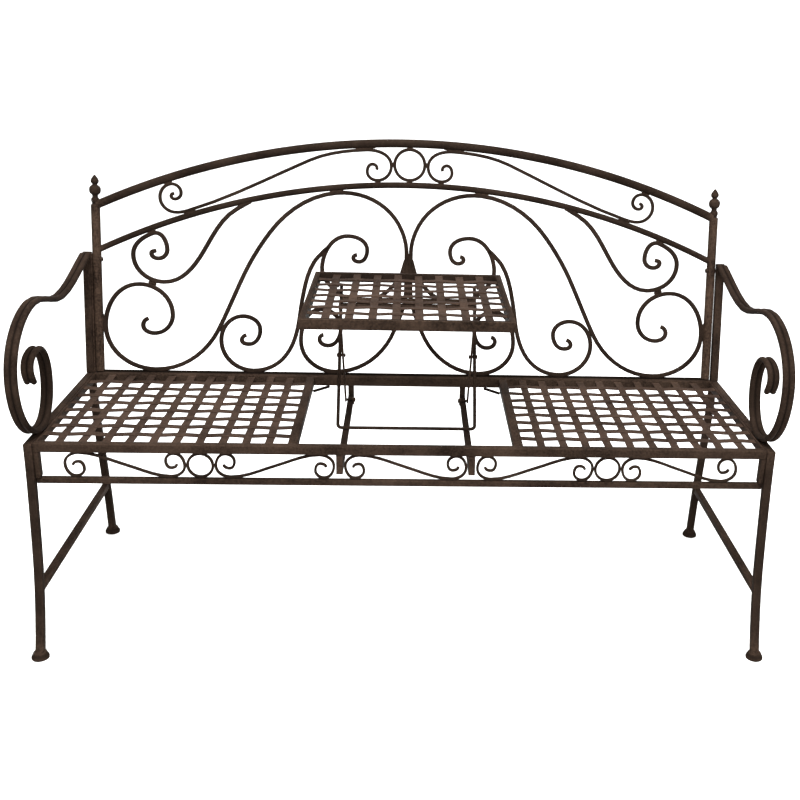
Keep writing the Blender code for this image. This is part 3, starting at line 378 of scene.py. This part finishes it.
def armPath():
    lean = bench["recline"]
    restZ = bench["seatTop"] + arm["gap"] + arm["rod"] / 2
    drop = bench["seatTop"] + arm["gap"] + arm["uprightLength"] * cos(lean) - restZ
    startY = arm["uprightFoot"] + arm["uprightLength"] * sin(lean) - arm["rearGap"]
    length = startY + arm["frontReach"]
    curl = arm["curlRear"]
    return trace((startY, restZ + drop * 0.985, 194.0),
                 [(startY - length * 0.393, restZ + drop * 0.820, 180.0),
                  (startY - length * 0.720, restZ + drop * 0.937, 184.0),
                  (-arm["frontReach"], restZ + drop * 0.465, 270.0), (curl * 0.480, restZ, 0.0),
                  (curl, restZ + drop * 0.345, 90.0), (curl * 0.621, restZ + drop * 0.590, 180.0),
                  (curl * 0.293, restZ + drop * 0.480, 270.0),
                  (curl * 0.365, restZ + drop * 0.385, 300.0)], arm["bendStep"])


def makeArm(label, side):
    bm = bmesh.new()
    path = armPath()
    section = roundBar(arm["rod"], 18)
    cap = domed(arm["rod"])
    for offset in (-0.5, 0.5):
        x = side * bench["sideX"] + offset * arm["spacing"]
        sweep(bm, sidePlace(x), path, section, caps=(cap, cap))
    # the rods are tied at both ends
    for index in (0, len(path) - 1):
        middle = sidePlace(side * bench["sideX"])(path[index].x, path[index].y)
        base = middle - Vector((arm["spacing"] / 2, 0, 0))
        radius = arm["rod"] * arm["tie"]
        turn(bm, [(0.0, radius), (arm["spacing"], radius)], base, (1, 0, 0), 14)
    dress("curled_arm_" + label, bm, "bench", stands=["arm_" + label])
    # painted shade: a dark bar in the groove between the rods, where shade falls
    bar("arm_groove_" + label, sidePlace(side * bench["sideX"]), path,
        softBar(arm["rod"] * arm["shadeHigh"], arm["rod"] * arm["shadeWide"], arm["shadeEdge"], 1),
        paint="painted_shade")


for label, side in sides.items():
    makeArm(label, side)
print("arms done")


# Back: posts with turned finials, arched rails, scrolls
back = {
    "post": 0.020, "postLength": 0.3755, "finialLength": 0.066, "finialWidth": 0.0255,
    "topRail": 0.019, "topShoulder": 0.3735, "topCrown": 0.5258,
    "secondRail": 0.014, "secondShoulder": 0.2735, "secondCrown": 0.4334,
    "scrollBar": 0.0095, "bandBar": 0.0073, "slit": 0.0006, "gap": 0.0003,
    "stripHigh": 0.0036, "stripDeep": 0.008, "stripSunk": 0.0004, "stripEdge": 0.0006, "stripEnd": 0.4,
    "ringCorner": 0.0012, "cornerShare": 0.2, "railFit": 0.985, "railEnd": 0.2, "railSteps": 48,
    "endLead": 2.2, "endPast": 0.6,
    "finial": ((0.0, 0.706), (0.012, 0.62), (0.02, 0.57), (0.06, 0.565), (0.075, 0.60), (0.095, 0.67),
               (0.12, 0.70), (0.15, 0.706), (0.18, 0.70), (0.205, 0.66), (0.23, 0.56), (0.25, 0.50),
               (0.28, 0.47), (0.31, 0.49), (0.33, 0.58), (0.355, 0.74), (0.385, 0.87), (0.425, 0.96),
               (0.475, 1.0), (0.52, 1.0), (0.56, 0.955), (0.60, 0.84), (0.63, 0.68), (0.65, 0.52),
               (0.665, 0.42), (0.68, 0.42), (0.70, 0.50), (0.72, 0.60), (0.75, 0.67), (0.785, 0.70),
               (0.82, 0.67), (0.86, 0.58), (0.90, 0.45), (0.94, 0.30), (0.975, 0.15), (1.0, 0.04)),
}
topArch = (back["topShoulder"], back["topCrown"])
secondArch = (back["secondShoulder"], back["secondCrown"])


def archRadius(arch):
    rise = arch[1] - arch[0]
    return (bench["postX"] ** 2 + rise ** 2) / (2 * rise)


def archHeight(arch, u):
    radius = archRadius(arch)
    return arch[1] - radius + sqrt(radius ** 2 - u ** 2)


def archSlope(arch, u):
    return degrees(atan2(-u, sqrt(archRadius(arch) ** 2 - u ** 2)))


# a stop for a bar that lies against an arched rail: side 1 above it, -1 under it
def against(arch, rail, width, share, side, swing=0.0):
    u = wide(share)
    slope = archSlope(arch, u)
    away = heading(slope + 90.0) * side * (rail / 2 + back["gap"] + width / 2)
    return (u + away.x, archHeight(arch, u) + away.y, slope + swing)


def wide(share):
    return share * bench["postX"]


def tall(share):
    return share * back["secondShoulder"]


def makePosts():
    lean = (0, sin(bench["recline"]), cos(bench["recline"]))
    r, w, length = back["post"] / 2, back["finialWidth"] / 2, back["postLength"]
    for label, side in sides.items():
        bm = bmesh.new()
        profile = [(r * tan(bench["recline"]) * 0.5, r), (length, r)]
        profile += [(length + back["finialLength"] * high, w * size) for high, size in back["finial"]]
        turn(bm, profile, (side * bench["postX"], backY, bench["seatTop"]), lean)
        dress("turned_back_post_" + label, bm, "bench", stands=["back_post_" + label])


def makeRails():
    end = bench["postX"] - back["post"] * back["railEnd"]
    count = back["railSteps"]
    rails = (("top_rail", topArch, back["topRail"]), ("second_rail", secondArch, back["secondRail"]))
    for name, arch, rail in rails:
        stations = [end * (index / count - 1) for index in range(2 * count + 1)]
        path = [Vector((u, archHeight(arch, u))) for u in stations]
        bar("arched_" + name, backPlace(), path, roundBar(rail * back["railFit"], 20), stands=[name])


# painted shadow: a thin dark strip along the rear rail under the scrolls, where a shadow line falls
def makeShadowStrip():
    end = bench["postX"] - back["post"] * back["stripEnd"]
    z = bench["seatTop"] + back["stripHigh"] / 2 - back["stripSunk"]
    bar("back_shadow_strip", frontPlace(backY), [Vector((-end, z)), Vector((end, z))],
        softBar(back["stripHigh"], back["stripDeep"], back["stripEdge"]), paint="painted_shade")


ringLow = back["secondCrown"] + back["secondRail"] / 2 + back["gap"]
ringHigh = back["topCrown"] - back["topRail"] / 2 - back["gap"]
ringRadius = (ringHigh - ringLow - back["bandBar"]) / 2
ringV = (ringLow + ringHigh) / 2


def ringPath(u, v, radius, count=56):
    return [Vector((u, v)) + heading(360.0 * index / count) * radius for index in range(count)]


def bandScroll():
    r, thick = ringRadius, back["bandBar"]
    ringEdge = -(r + thick + back["gap"])
    overSecond = against(secondArch, back["secondRail"], thick, -0.1014, 1)
    underTop = against(topArch, back["topRail"], thick, -0.1429, -1, 180.0)
    lowCurl = against(secondArch, back["secondRail"], thick, -0.700, 1, 180.0)
    highCurl = against(topArch, back["topRail"], thick, -0.7743, -1)
    curlU, curlV = (lowCurl[0] + highCurl[0]) / 2, (lowCurl[1] + highCurl[1]) / 2
    return trace((wide(-0.1057), ringV - r * 0.33, 70.0),
                 [(wide(-0.1171), ringV, 170.0), (wide(-0.1364), ringV - r * 0.467, 270.0), overSecond,
                  (ringEdge, ringV - r * 0.082, 92.0), underTop,
                  (wide(-0.3201), ringV + r * 0.16, 204.0), lowCurl,
                  (curlU - r * 0.27, curlV - r * 0.98, 176.0), (curlU - r * 1.23, curlV, 90.0), highCurl,
                  (curlU + r * 0.15, curlV + r * 0.29, 270.0), (curlU - r * 0.27, curlV - r * 0.12, 180.0),
                  (curlU - r * 0.50, curlV + r * 0.08, 90.0), (curlU - r * 0.33, curlV + r * 0.24, 10.0)])


def wingScroll():
    rail, thick = back["secondRail"], back["scrollBar"]
    touch = against(secondArch, rail, thick, -0.8286, -1, 180.0)
    end = against(secondArch, rail, 0.0, -0.5284, -1)
    lead = heading(30.0) * thick * back["endLead"]
    past = back["endPast"]
    return trace((wide(-0.8134), tall(1.0076), 190.0),
                 [(wide(-0.827), tall(0.9856), 270.0), (wide(-0.8057), tall(0.9449), 0.0),
                  (wide(-0.7764), tall(1.018), 90.0), touch, (wide(-0.885), tall(0.974), 270.0),
                  (wide(-0.7881), tall(0.7524), 0.0), (wide(-0.6499), tall(1.0577), 60.0),
                  (end[0] - lead.x, end[1] - lead.y, 30.0),
                  (end[0] + lead.x * past, end[1] + lead.y * past, 30.0)])


floorV = back["gap"] + back["scrollBar"] / 2 * (1 + tan(bench["recline"]))


def largeScroll():
    thick = back["scrollBar"]
    postU = -(bench["postX"] - back["post"] / 2 - back["gap"] - thick / 2)
    centreU = -(back["slit"] + thick) / 2
    crown = against(secondArch, back["secondRail"], thick, -0.2357, -1)
    return trace((wide(-0.8429), tall(0.4461), 200.0),
                 [(wide(-0.8586), tall(0.3912), 270.0), (wide(-0.8229), tall(0.3254), 0.0),
                  (wide(-0.7629), tall(0.4826), 90.0), (wide(-0.8671), tall(0.7313), 180.0),
                  (postU, tall(0.3803), 270.0), (wide(-0.82), floorV, 0.0),
                  (wide(-0.6157), tall(0.3656), 63.0), (wide(-0.53), tall(0.8373), 64.0),
                  (wide(-0.4477), tall(1.1773), 53.0), crown,
                  (wide(-0.0215), tall(1.2015), -68.0), (centreU, tall(1.03), -90.0),
                  (centreU, tall(0.713), -90.0), (wide(-0.045), tall(0.3744), -112.0),
                  (wide(-0.2371), floorV, 180.0), (wide(-0.3493), tall(0.2797), 90.0),
                  (wide(-0.2814), tall(0.5484), 0.0), (wide(-0.2193), tall(0.3949), -90.0),
                  (wide(-0.2614), tall(0.2431), 180.0), (wide(-0.2886), tall(0.2962), 90.0),
                  (wide(-0.2771), tall(0.3327), 10.0)])


def lowerScroll():
    return trace((wide(-0.5286), tall(0.3199), 200.0),
                 [(wide(-0.5414), tall(0.2797), 270.0), (wide(-0.5186), tall(0.245), 0.0),
                  (wide(-0.4814), tall(0.3656), 90.0), (wide(-0.5357), tall(0.479), 180.0),
                  (wide(-0.6079), tall(0.2742), 270.0), (wide(-0.5043), floorV, 0.0),
                  (wide(-0.4086), tall(0.1243), 46.0), (wide(-0.365), tall(0.3327), 74.0),
                  (wide(-0.3443), tall(0.6325), 79.0), (wide(-0.3053), tall(0.9433), 57.0),
                  (wide(-0.2757), tall(1.0287), 48.0), (wide(-0.2590), tall(1.068), 52.0)])


def heartScroll():
    besideCentre = -(back["slit"] / 2 + back["scrollBar"] + back["gap"])
    lead = heading(74.0) * back["scrollBar"] * back["endLead"]
    past = back["endPast"]
    return trace((wide(-0.169), tall(1.005), 190.0),
                 [(wide(-0.1795), tall(0.981), 270.0), (wide(-0.1614), tall(0.9488), 0.0),
                  (wide(-0.1347), tall(1.0457), 90.0), (wide(-0.1971), tall(1.159), 180.0),
                  (wide(-0.2807), tall(0.8995), 266.0), (wide(-0.2229), tall(0.6779), 322.0),
                  (wide(-0.1509), tall(0.6223), 0.0), (wide(-0.0531), tall(0.7441), 48.0),
                  (besideCentre - lead.x, tall(0.921) - lead.y, 74.0),
                  (besideCentre + lead.x * past, tall(0.921) + lead.y * past, 74.0)])


makePosts()
makeRails()
makeShadowStrip()
bar("forged_centre_ring", backPlace(), ringPath(0.0, ringV, ringRadius),
    softBar(back["bandBar"], back["bandBar"], back["ringCorner"]), stands=["centre_ring"], closed=True)
scrolls = (("band_scroll_", bandScroll, "bandBar"), ("wing_scroll_", wingScroll, "scrollBar"),
           ("large_scroll_", largeScroll, "scrollBar"), ("lower_scroll_", lowerScroll, "scrollBar"),
           ("heart_scroll_", heartScroll, "scrollBar"))
for name, path, width in scrolls:
    thick = back[width]
    for label, side in sides.items():
        blunt = chamfered(thick)
        section = softBar(thick, thick, thick * back["cornerShare"])
        bar("forged_" + name + label, backPlace(side), path(), section,
            stands=[name + label], caps=(blunt, blunt))
print("back done")


# Apron: flat scrolls and rings under the front rail
apron = {
    "bar": 0.0055, "barClearance": 0.002, "endGap": 0.0437, "corner": 0.001, "blunt": 0.0008,
    "crossbarX": 0.1295, "crossbarWidth": 0.013,
}


def makeApron():
    low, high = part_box("apron_rail")[1].z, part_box("seat_front_rail")[0].z
    y = (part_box("apron_rail")[0].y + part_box("apron_rail")[1].y) / 2
    h = (high - low - apron["bar"]) / 2 - back["gap"]
    middle = (low + high) / 2
    section = softBar(apron["bar"], apron["bar"], apron["corner"])
    place = frontPlace(y)

    def apronScroll(name, start, end, fall):
        centre, half = (start + end) / 2, (abs(end - start) - apron["bar"]) / 2
        curl = half - h
        right = trace((0.0, 0.0, -18.0), [
            (curl - h * 0.164, -h, 0.0), (half, -h * 0.05, 90.0), (curl + h * 0.204, h, 180.0),
            (curl - h * 0.491, h * 0.36, 270.0), (curl - h * 0.082, -h * 0.24, 0.0),
            (curl + h * 0.368, h * 0.04, 80.0)])
        line = [-point for point in reversed(right[1:])] + right
        path = [Vector((centre + point.x, middle + fall * point.y)) for point in line]
        blunt = chamfered(apron["bar"], apron["blunt"])
        bar("forged_" + name, place, path, section, stands=[name], caps=(blunt, blunt))

    room = apron["crossbarWidth"] / 2 + apron["barClearance"]
    innerStart, centreEnd = apron["crossbarX"] + room, apron["crossbarX"] - room
    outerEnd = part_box("apron_post_right")[0].x - apron["endGap"]
    ringRoom = 2 * h + apron["bar"] + 2 * back["gap"]
    ringX = (innerStart + outerEnd) / 2
    apronScroll("apron_scroll_centre", -centreEnd, centreEnd, 1)
    for label, side in sides.items():
        apronScroll("apron_scroll_outer_" + label, side * (ringX + ringRoom / 2), side * outerEnd, 1)
        apronScroll("apron_scroll_inner_" + label, side * innerStart, side * (ringX - ringRoom / 2), -1)
        bar("forged_apron_ring_" + label, place, ringPath(side * ringX, middle, h, 44), section,
            stands=["apron_ring_" + label], closed=True)


makeApron()
print("apron done")


# Woven seats and table top: every strip goes over and under
strip = {
    "thick": 0.0016, "longWidth": 0.0165, "crossWidth": 0.0178, "pitch": 0.0447, "sink": 0.0035,
    "samples": 8, "tuck": 0.0012, "tableStrips": 8, "air": 0.00005, "edgeShare": 0.35, "crease": 45.0,
}


def weaveStrip(bm, start, end, crossings, first, width, middleZ, place):
    rise = strip["thick"] / 2 + strip["air"]
    stations = [start]
    knots = [start] + crossings + [end]
    for a, b in zip(knots, knots[1:]):
        stations += [a + (b - a) * (index + 1) / strip["samples"] for index in range(strip["samples"])]
    reach = (crossings[-1] - crossings[0]) / (len(crossings) - 1)
    path = [Vector((s, middleZ + first * rise * cos(pi * (s - crossings[0]) / reach))) for s in stations]
    sweep(bm, place, path, softBar(strip["thick"], width, strip["thick"] * strip["edgeShare"], 2))


def weavePanel(node, body, longAt, crossAt, middleZ):
    low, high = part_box(node)
    for name, own, other, width, axis in (("long", longAt, crossAt, strip["longWidth"], 1),
                                          ("cross", crossAt, longAt, strip["crossWidth"], 0)):
        bm = bmesh.new()
        for index, spot in enumerate(own):
            over = 1 if index % 2 == 0 else -1
            over = over if name == "long" else -over
            if axis:
                place = lambda u, v, w=0.0, x=spot: Vector((x + w, u, v))
            else:
                place = lambda u, v, w=0.0, y=spot: Vector((u, y + w, v))
            tuck = strip["tuck"]
            weaveStrip(bm, low[axis] - tuck, high[axis] + tuck, other, over, width, middleZ, place)
        stands = [node] if name == "long" else []
        dress("woven_" + name + "_" + node, bm, body, "weave_paint", stands, crease=strip["crease"])


def makeWeaves():
    front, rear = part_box("seat_front_rail")[1].y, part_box("seat_rear_rail")[0].y
    rows = round((rear - front) / strip["pitch"])
    crossAt = [front + (rear - front) * (index + 1) / rows for index in range(rows - 1)]
    for label, side in sides.items():
        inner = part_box("seat_divider_right")[1].x
        first = inner + strip["pitch"] - strip["longWidth"] / 2
        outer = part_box("seat_panel_right")[1].x
        columns = int((outer - strip["longWidth"] / 2 - first) / strip["pitch"]) + 1
        longAt = sorted(side * (first + strip["pitch"] * index) for index in range(columns))
        weavePanel("seat_panel_" + label, "bench", longAt, crossAt, bench["seatTop"] - strip["sink"])
    low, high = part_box("table_panel")
    rows = round((high.y - low.y) / strip["pitch"])
    crossAt = [low.y + (high.y - low.y) * (index + 1) / rows for index in range(rows - 1)]
    count = strip["tableStrips"]
    longAt = [(index - (count - 1) / 2) * strip["pitch"] for index in range(count)]
    weavePanel("table_panel", "table", longAt, crossAt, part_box("table_frame")[1].z - strip["sink"])


makeWeaves()
print("weaves done")


# Table lift: crossbars, scissor arms, one bent prop rod, the table's frame
lift = {
    "pinY": 0.373, "pinZ": 0.39205, "spread": 0.172, "rise": 0.269, "pin": 0.006, "head": 0.010,
    "headHeight": 0.003, "armRim": 0.0006, "rodKink": 0.0028, "restRod": 0.0068, "brace": 0.008,
    "frameEdge": 0.0014, "pinLap": 0.001, "capShare": 0.5,
    "armX": 0.1392, "armWidth": 0.011, "armThick": 0.004, "rod": 0.0075, "rodX": 0.14615, "rodBend": 0.008,
    "lugX": 0.1511, "lugThick": 0.003, "ear": 0.003, "clear": 0.0012, "edge": 0.0010,
}


def mirrored(steps, side):
    return steps if side > 0 else [(-spot, radius) for spot, radius in reversed(steps)]


def domeHead(at, outward, radius, height):
    angles = [radians(90.0 * index / 5) for index in range(1, 6)]
    return [(at + outward * height * sin(angle), max(radius * cos(angle), radius * 0.06)) for angle in angles]


def makeLiftArms():
    y0 = bench["frontAxis"]
    low = Vector((lift["pinY"], lift["pinZ"]))
    high = Vector((lift["pinY"] - lift["spread"], lift["pinZ"] + lift["rise"]))
    along = (high - low).normalized()
    square = Vector((-along.y, along.x))
    half = lift["armWidth"] / 2
    for label, side in sides.items():
        bm = bmesh.new()
        # a flat bar with round ends: two faces and a rim
        angles = [pi * index / 10 for index in range(11)]
        outline = [high + (along * sin(t) + square * cos(t)) * half for t in angles]
        outline += [low - (along * sin(t) + square * cos(t)) * half for t in angles]
        rings = []
        rim = lift["armRim"]
        thick = lift["armThick"] / 2
        middle = (low + high) / 2
        for depth, inset in ((-thick, rim), (-thick + rim, 0.0), (thick - rim, 0.0), (thick, rim)):
            ring = []
            for spot in outline:
                end = high if (spot - middle).dot(along) > 0 else low
                shrunk = end + (spot - end) * (1 - inset / half)
                ring.append(bm.verts.new((side * lift["armX"] + depth, y0 + shrunk.x, shrunk.y)))
            rings.append(ring)
        stitch(bm, rings)
        inner = apron["crossbarX"] - apron["crossbarWidth"] / 2 - lift["ear"] - back["gap"]
        dome = lift["headHeight"] * 0.5
        pin = list(reversed(domeHead(inner - dome, -1, lift["head"] / 2, dome)))
        pin += [(inner - dome, lift["head"] / 2), (inner, lift["head"] / 2),
                (inner, lift["pin"] / 2), (lift["armX"] + lift["pinLap"], lift["pin"] / 2)]
        turn(bm, mirrored(pin, side), (0.0, y0 + lift["pinY"], lift["pinZ"]), (1, 0, 0), 24)
        dress("flat_lift_arm_" + label, bm, "lift_arms", "lift_paint", ["lift_arm_" + label])


def makePropRod():
    y0 = bench["frontAxis"]
    base = Vector((0.0, y0 + lift["pinY"] - lift["spread"], lift["pinZ"]))
    along = Vector((0.0, lift["spread"], lift["rise"])).normalized()
    normal = Vector((1, 0, 0)).cross(along)
    length = hypot(lift["spread"], lift["rise"])
    tip = lift["lugX"] + lift["lugThick"] + lift["headHeight"] * 0.7
    bend = lift["rodKink"]
    half = trace((0.0, 0.0, 0.0),
                 [(lift["rodX"] - lift["rodBend"], 0.0, 0.0), (lift["rodX"], lift["rodBend"], 90.0),
                  (lift["rodX"], length - bend, 90.0), (lift["rodX"] + bend, length, 0.0),
                  (tip, length, 0.0)])[1:]
    path = [Vector((-spot.x, spot.y)) for spot in reversed(half)] + half
    cap = domed(lift["rod"] * lift["capShare"], 2)
    bm = bmesh.new()
    sweep(bm, lambda u, v, w=0.0: base + Vector((u, 0, 0)) + along * v + normal * w, path,
          roundBar(lift["rod"], 16), caps=(cap, cap))
    knob = base + along * length / 2
    inner = lift["armX"] - lift["armThick"] / 2 - lift["clear"]
    outer = lift["rodX"] + lift["rod"] / 2
    r, head, high = lift["pin"] / 2, lift["head"] / 2, lift["headHeight"]
    rivet = list(reversed(domeHead(inner, -1, head, high)))
    rivet += [(inner, head), (inner, r), (outer, r), (outer, head)] + domeHead(outer, 1, head, high)
    for side in sides.values():
        turn(bm, mirrored(rivet, side), knob, (1, 0, 0), 24)
    dress("bent_prop_rod", bm, "prop", "lift_paint", ["prop_rod"])


def makeCrossbars():
    for label in sides:
        roundedCopy("lift_crossbar_" + label, "square_lift_crossbar_" + label, "bench", "lift_paint",
                    lift["edge"], 2)
        low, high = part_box("table_rest_" + label)
        z = (low.z + high.z) / 2
        start = Vector((low.x, low.y)) if label == "left" else Vector((high.x, low.y))
        end = Vector((high.x, high.y)) if label == "left" else Vector((low.x, high.y))
        # painted shade: the corner rests take the dark shade paint, for they lie in shade under the seat
        bar("corner_table_rest_" + label, lambda u, v, w=0.0, z=z: Vector((u, v, z + w)), [start, end],
            roundBar(lift["restRod"], 14), "bench", "rest_painted_shade", ["table_rest_" + label])


def makeTable():
    roundedCopy("table_frame", "mitred_table_frame", "table", "frame_paint", lift["frameEdge"], 3)
    for end in ("front", "rear"):
        low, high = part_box("table_brace_" + end)
        y, z = (low.y + high.y) / 2, (low.z + high.z) / 2
        cap, inset = domed(lift["brace"], 3), lift["brace"] / 2
        path = [Vector((low.x + inset, z)), Vector((high.x - inset, z))]
        bar("round_table_brace_" + end, frontPlace(y), path,
            roundBar(lift["brace"], 16), "table", "lift_paint", ["table_brace_" + end], caps=(cap, cap))


makeCrossbars()
makeLiftArms()
makePropRod()
makeTable()
print("lift done")


# Fasteners and welds: bolts through the spacers, beads where bars meet
joins = {
    "bolt": 0.0105, "boltHeight": 0.0055, "shank": 0.003, "beadThick": 0.0026, "beadDeep": 0.0062,
    "ringSide": 0.014, "ringEnd": 0.016, "postBead": 0.042, "wingBead": 0.027, "wingOverlap": 0.002,
    "webThick": 0.0034, "seamDeep": 0.009, "seamWide": 0.0026, "seamEdge": 0.0008,
    "seamFoot": 0.001, "seamShort": 0.004,
    # rail contacts: arch, rail, share, side of the rail, length
    "rails": ((secondArch, "secondRail", -0.700, 1, 0.030), (topArch, "topRail", -0.7743, -1, 0.022),
              (topArch, "topRail", -0.1429, -1, 0.048), (secondArch, "secondRail", -0.1014, 1, 0.016),
              (secondArch, "secondRail", -0.8286, -1, 0.022), (secondArch, "secondRail", -0.2357, -1, 0.034)),
}


def bead(bm, place, spot, angle, length, thick=None):
    thick = thick or joins["beadThick"]
    reach = heading(angle) * (length / 2 - thick)
    ends = domed(thick, 3)
    sweep(bm, place, [spot - reach, spot, spot + reach],
          softBar(thick, joins["beadDeep"], thick * 0.3), caps=(ends, ends))


def makeWelds():
    edge = ringRadius + back["bandBar"] / 2
    for label, side in sides.items():
        bm = bmesh.new()
        place = backPlace(side)
        for arch, rail, share, above, length in joins["rails"]:
            slope = archSlope(arch, wide(share))
            away = heading(slope + 90.0) * above * back[rail] / 2
            bead(bm, place, Vector((wide(share), archHeight(arch, wide(share)))) + away, slope, length)
        bead(bm, place, Vector((-edge, ringV)), 90.0, joins["ringSide"])
        bead(bm, place, Vector((back["post"] / 2 - bench["postX"], tall(0.41))), 90.0, joins["postBead"])
        # the wing scroll is welded to the large one where they come closest
        pairs = ((a, b) for a in largeScroll() for b in wingScroll())
        low, high = min(pairs, key=lambda pair: (pair[0] - pair[1]).length)
        across = high - low
        bead(bm, place, (low + high) / 2, degrees(atan2(-across.x, across.y)), joins["wingBead"],
             across.length - back["scrollBar"] + joins["wingOverlap"])
        dress("weld_beads_" + label, bm, "bench")
    # on the left a seam closes the gap between the back post and its upright
    bm = bmesh.new()
    lean = heading(90.0 - degrees(bench["recline"]))
    foot = Vector((arm["uprightFoot"], bench["seatTop"] + joins["seamFoot"]))
    head = foot + lean * (arm["uprightLength"] - joins["seamShort"])
    sweep(bm, sidePlace(-bench["postX"] - back["post"] / 2), [foot, head],
          softBar(joins["seamDeep"], joins["seamWide"], joins["seamEdge"]))
    dress("post_seam", bm, "bench")
    bm = bmesh.new()
    bead(bm, backPlace(), Vector((0.0, ringV + edge)), 0.0, joins["ringEnd"])
    bead(bm, backPlace(), Vector((0.0, ringV - edge)), 0.0, joins["ringEnd"])
    bead(bm, backPlace(), Vector((0.0, tall(0.85))), 90.0, tall(0.36), joins["webThick"])
    dress("weld_beads_centre", bm, "bench")


def makeBolts():
    for label, side in sides.items():
        low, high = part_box("post_spacer_" + label)
        middle = (low + high) / 2
        bm = bmesh.new()
        r = (high.z - low.z) / 2
        turn(bm, [(0.0, r), (high.x - low.x, r)], (low.x, middle.y, middle.z), (1, 0, 0), 24)
        postFace = bench["postX"] - back["post"] / 2
        head = joins["bolt"] / 2
        shank = joins["shank"]
        steps = [(-shank, shank), (0.0, shank), (0.0, head), (joins["boltHeight"] * 0.5, head)]
        steps += domeHead(joins["boltHeight"] * 0.5, 1, head, joins["boltHeight"] * 0.5)
        turn(bm, steps, (side * postFace, middle.y, middle.z), (-side, 0, 0), 20)
        dress("bolted_post_spacer_" + label, bm, "bench", stands=["post_spacer_" + label])


makeBolts()
makeWelds()
print("fasteners done")


# Stage: pale sweep, soft studio light, camera where the photograph was taken
studio = {
    "floor": (0.70, 0.70, 0.695, 1.0), "worldStrength": 0.80,
    "keyPlace": (-0.4, -2.6, 4.4), "keySize": 1.6, "keyPower": 520.0,
    "fillPlace": (2.4, -3.6, 2.4), "fillSize": 1.6, "fillPower": 120.0,
    "topPlace": (0.2, 0.9, 4.6), "topSize": 3.0, "topPower": 330.0, "aim": (0.0, 0.0, 0.5),
    "halfWidth": 9.0, "frontEdge": -7.0, "rearEdge": 2.6, "cove": 2.0, "wallTop": 7.0,
    "paperRough": 0.9, "paperGloss": 0.1,
}
cameraView = {"place": (0.001, -2.1100, 1.232), "yaw": 3.13, "pitch": 20.36, "roll": 1.82,
              "lens": 47.16, "sensor": 36.0, "farClip": 60.0, "shiftX": -0.0762, "shiftY": 0.0}


def makeStage():
    bm = bmesh.new()
    rear, cove, halfWidth = studio["rearEdge"], studio["cove"], studio["halfWidth"]
    profile = [Vector((studio["frontEdge"], 0.0)), Vector((rear, 0.0))]
    profile += [Vector((rear, cove)) + heading(angle) * cove for angle in range(-80, 1, 10)]
    profile += [Vector((rear + cove, studio["wallTop"]))]
    rows = [[bm.verts.new((x, spot.x, spot.y)) for x in (-halfWidth, halfWidth)] for spot in profile]
    for first, second in zip(rows, rows[1:]):
        bm.faces.new((first[0], first[1], second[1], second[0]))
    mesh = bpy.data.meshes.new("studio_sweep")
    bm.to_mesh(mesh)
    bm.free()
    mesh.shade_smooth()
    sweepObject = bpy.data.objects.new("studio_sweep", mesh)
    bpy.context.scene.collection.objects.link(sweepObject)
    paper = bpy.data.materials.new("studioPaper")
    paper.use_nodes = True
    shader = paper.node_tree.nodes["Principled BSDF"]
    shader.inputs["Base Color"].default_value = studio["floor"]
    shader.inputs["Roughness"].default_value = studio["paperRough"]
    shader.inputs["Specular IOR Level"].default_value = studio["paperGloss"]
    mesh.materials.append(paper)


def makeLights():
    world = bpy.data.worlds.new("studioWorld")
    world.use_nodes = True
    world.node_tree.nodes["Background"].inputs["Color"].default_value = (1.0, 1.0, 1.0, 1.0)
    world.node_tree.nodes["Background"].inputs["Strength"].default_value = studio["worldStrength"]
    bpy.context.scene.world = world
    for name in ("key", "fill", "top"):
        lamp = bpy.data.lights.new(name + "Light", "AREA")
        lamp.size = studio[name + "Size"]
        lamp.energy = studio[name + "Power"]
        holder = bpy.data.objects.new(name + "Light", lamp)
        holder.location = studio[name + "Place"]
        aim = Vector(studio["aim"]) - Vector(studio[name + "Place"])
        holder.rotation_euler = aim.to_track_quat("-Z", "Y").to_euler()
        bpy.context.scene.collection.objects.link(holder)


def makeCamera():
    yaw, pitch, roll = (radians(cameraView[key]) for key in ("yaw", "pitch", "roll"))
    ahead = Vector((sin(yaw) * cos(pitch), cos(yaw) * cos(pitch), -sin(pitch)))
    level = Vector((cos(yaw), -sin(yaw), 0.0))
    above = level.cross(ahead)
    right = level * cos(roll) + above * sin(roll)
    up = above * cos(roll) - level * sin(roll)
    lens = bpy.data.cameras.new("photoCamera")
    lens.sensor_width = cameraView["sensor"]
    lens.lens = cameraView["lens"]
    lens.shift_x, lens.shift_y = cameraView["shiftX"], cameraView["shiftY"]
    lens.clip_end = cameraView["farClip"]
    camera = bpy.data.objects.new("photoCamera", lens)
    turned = Matrix((right, up, -ahead)).transposed().to_4x4()
    camera.matrix_world = Matrix.Translation(Vector(cameraView["place"])) @ turned
    bpy.context.scene.collection.objects.link(camera)
    bpy.context.scene.camera = camera


makeStage()
makeLights()
makeCamera()
bpy.context.scene.view_settings.view_transform = "Standard"
print("stage set")
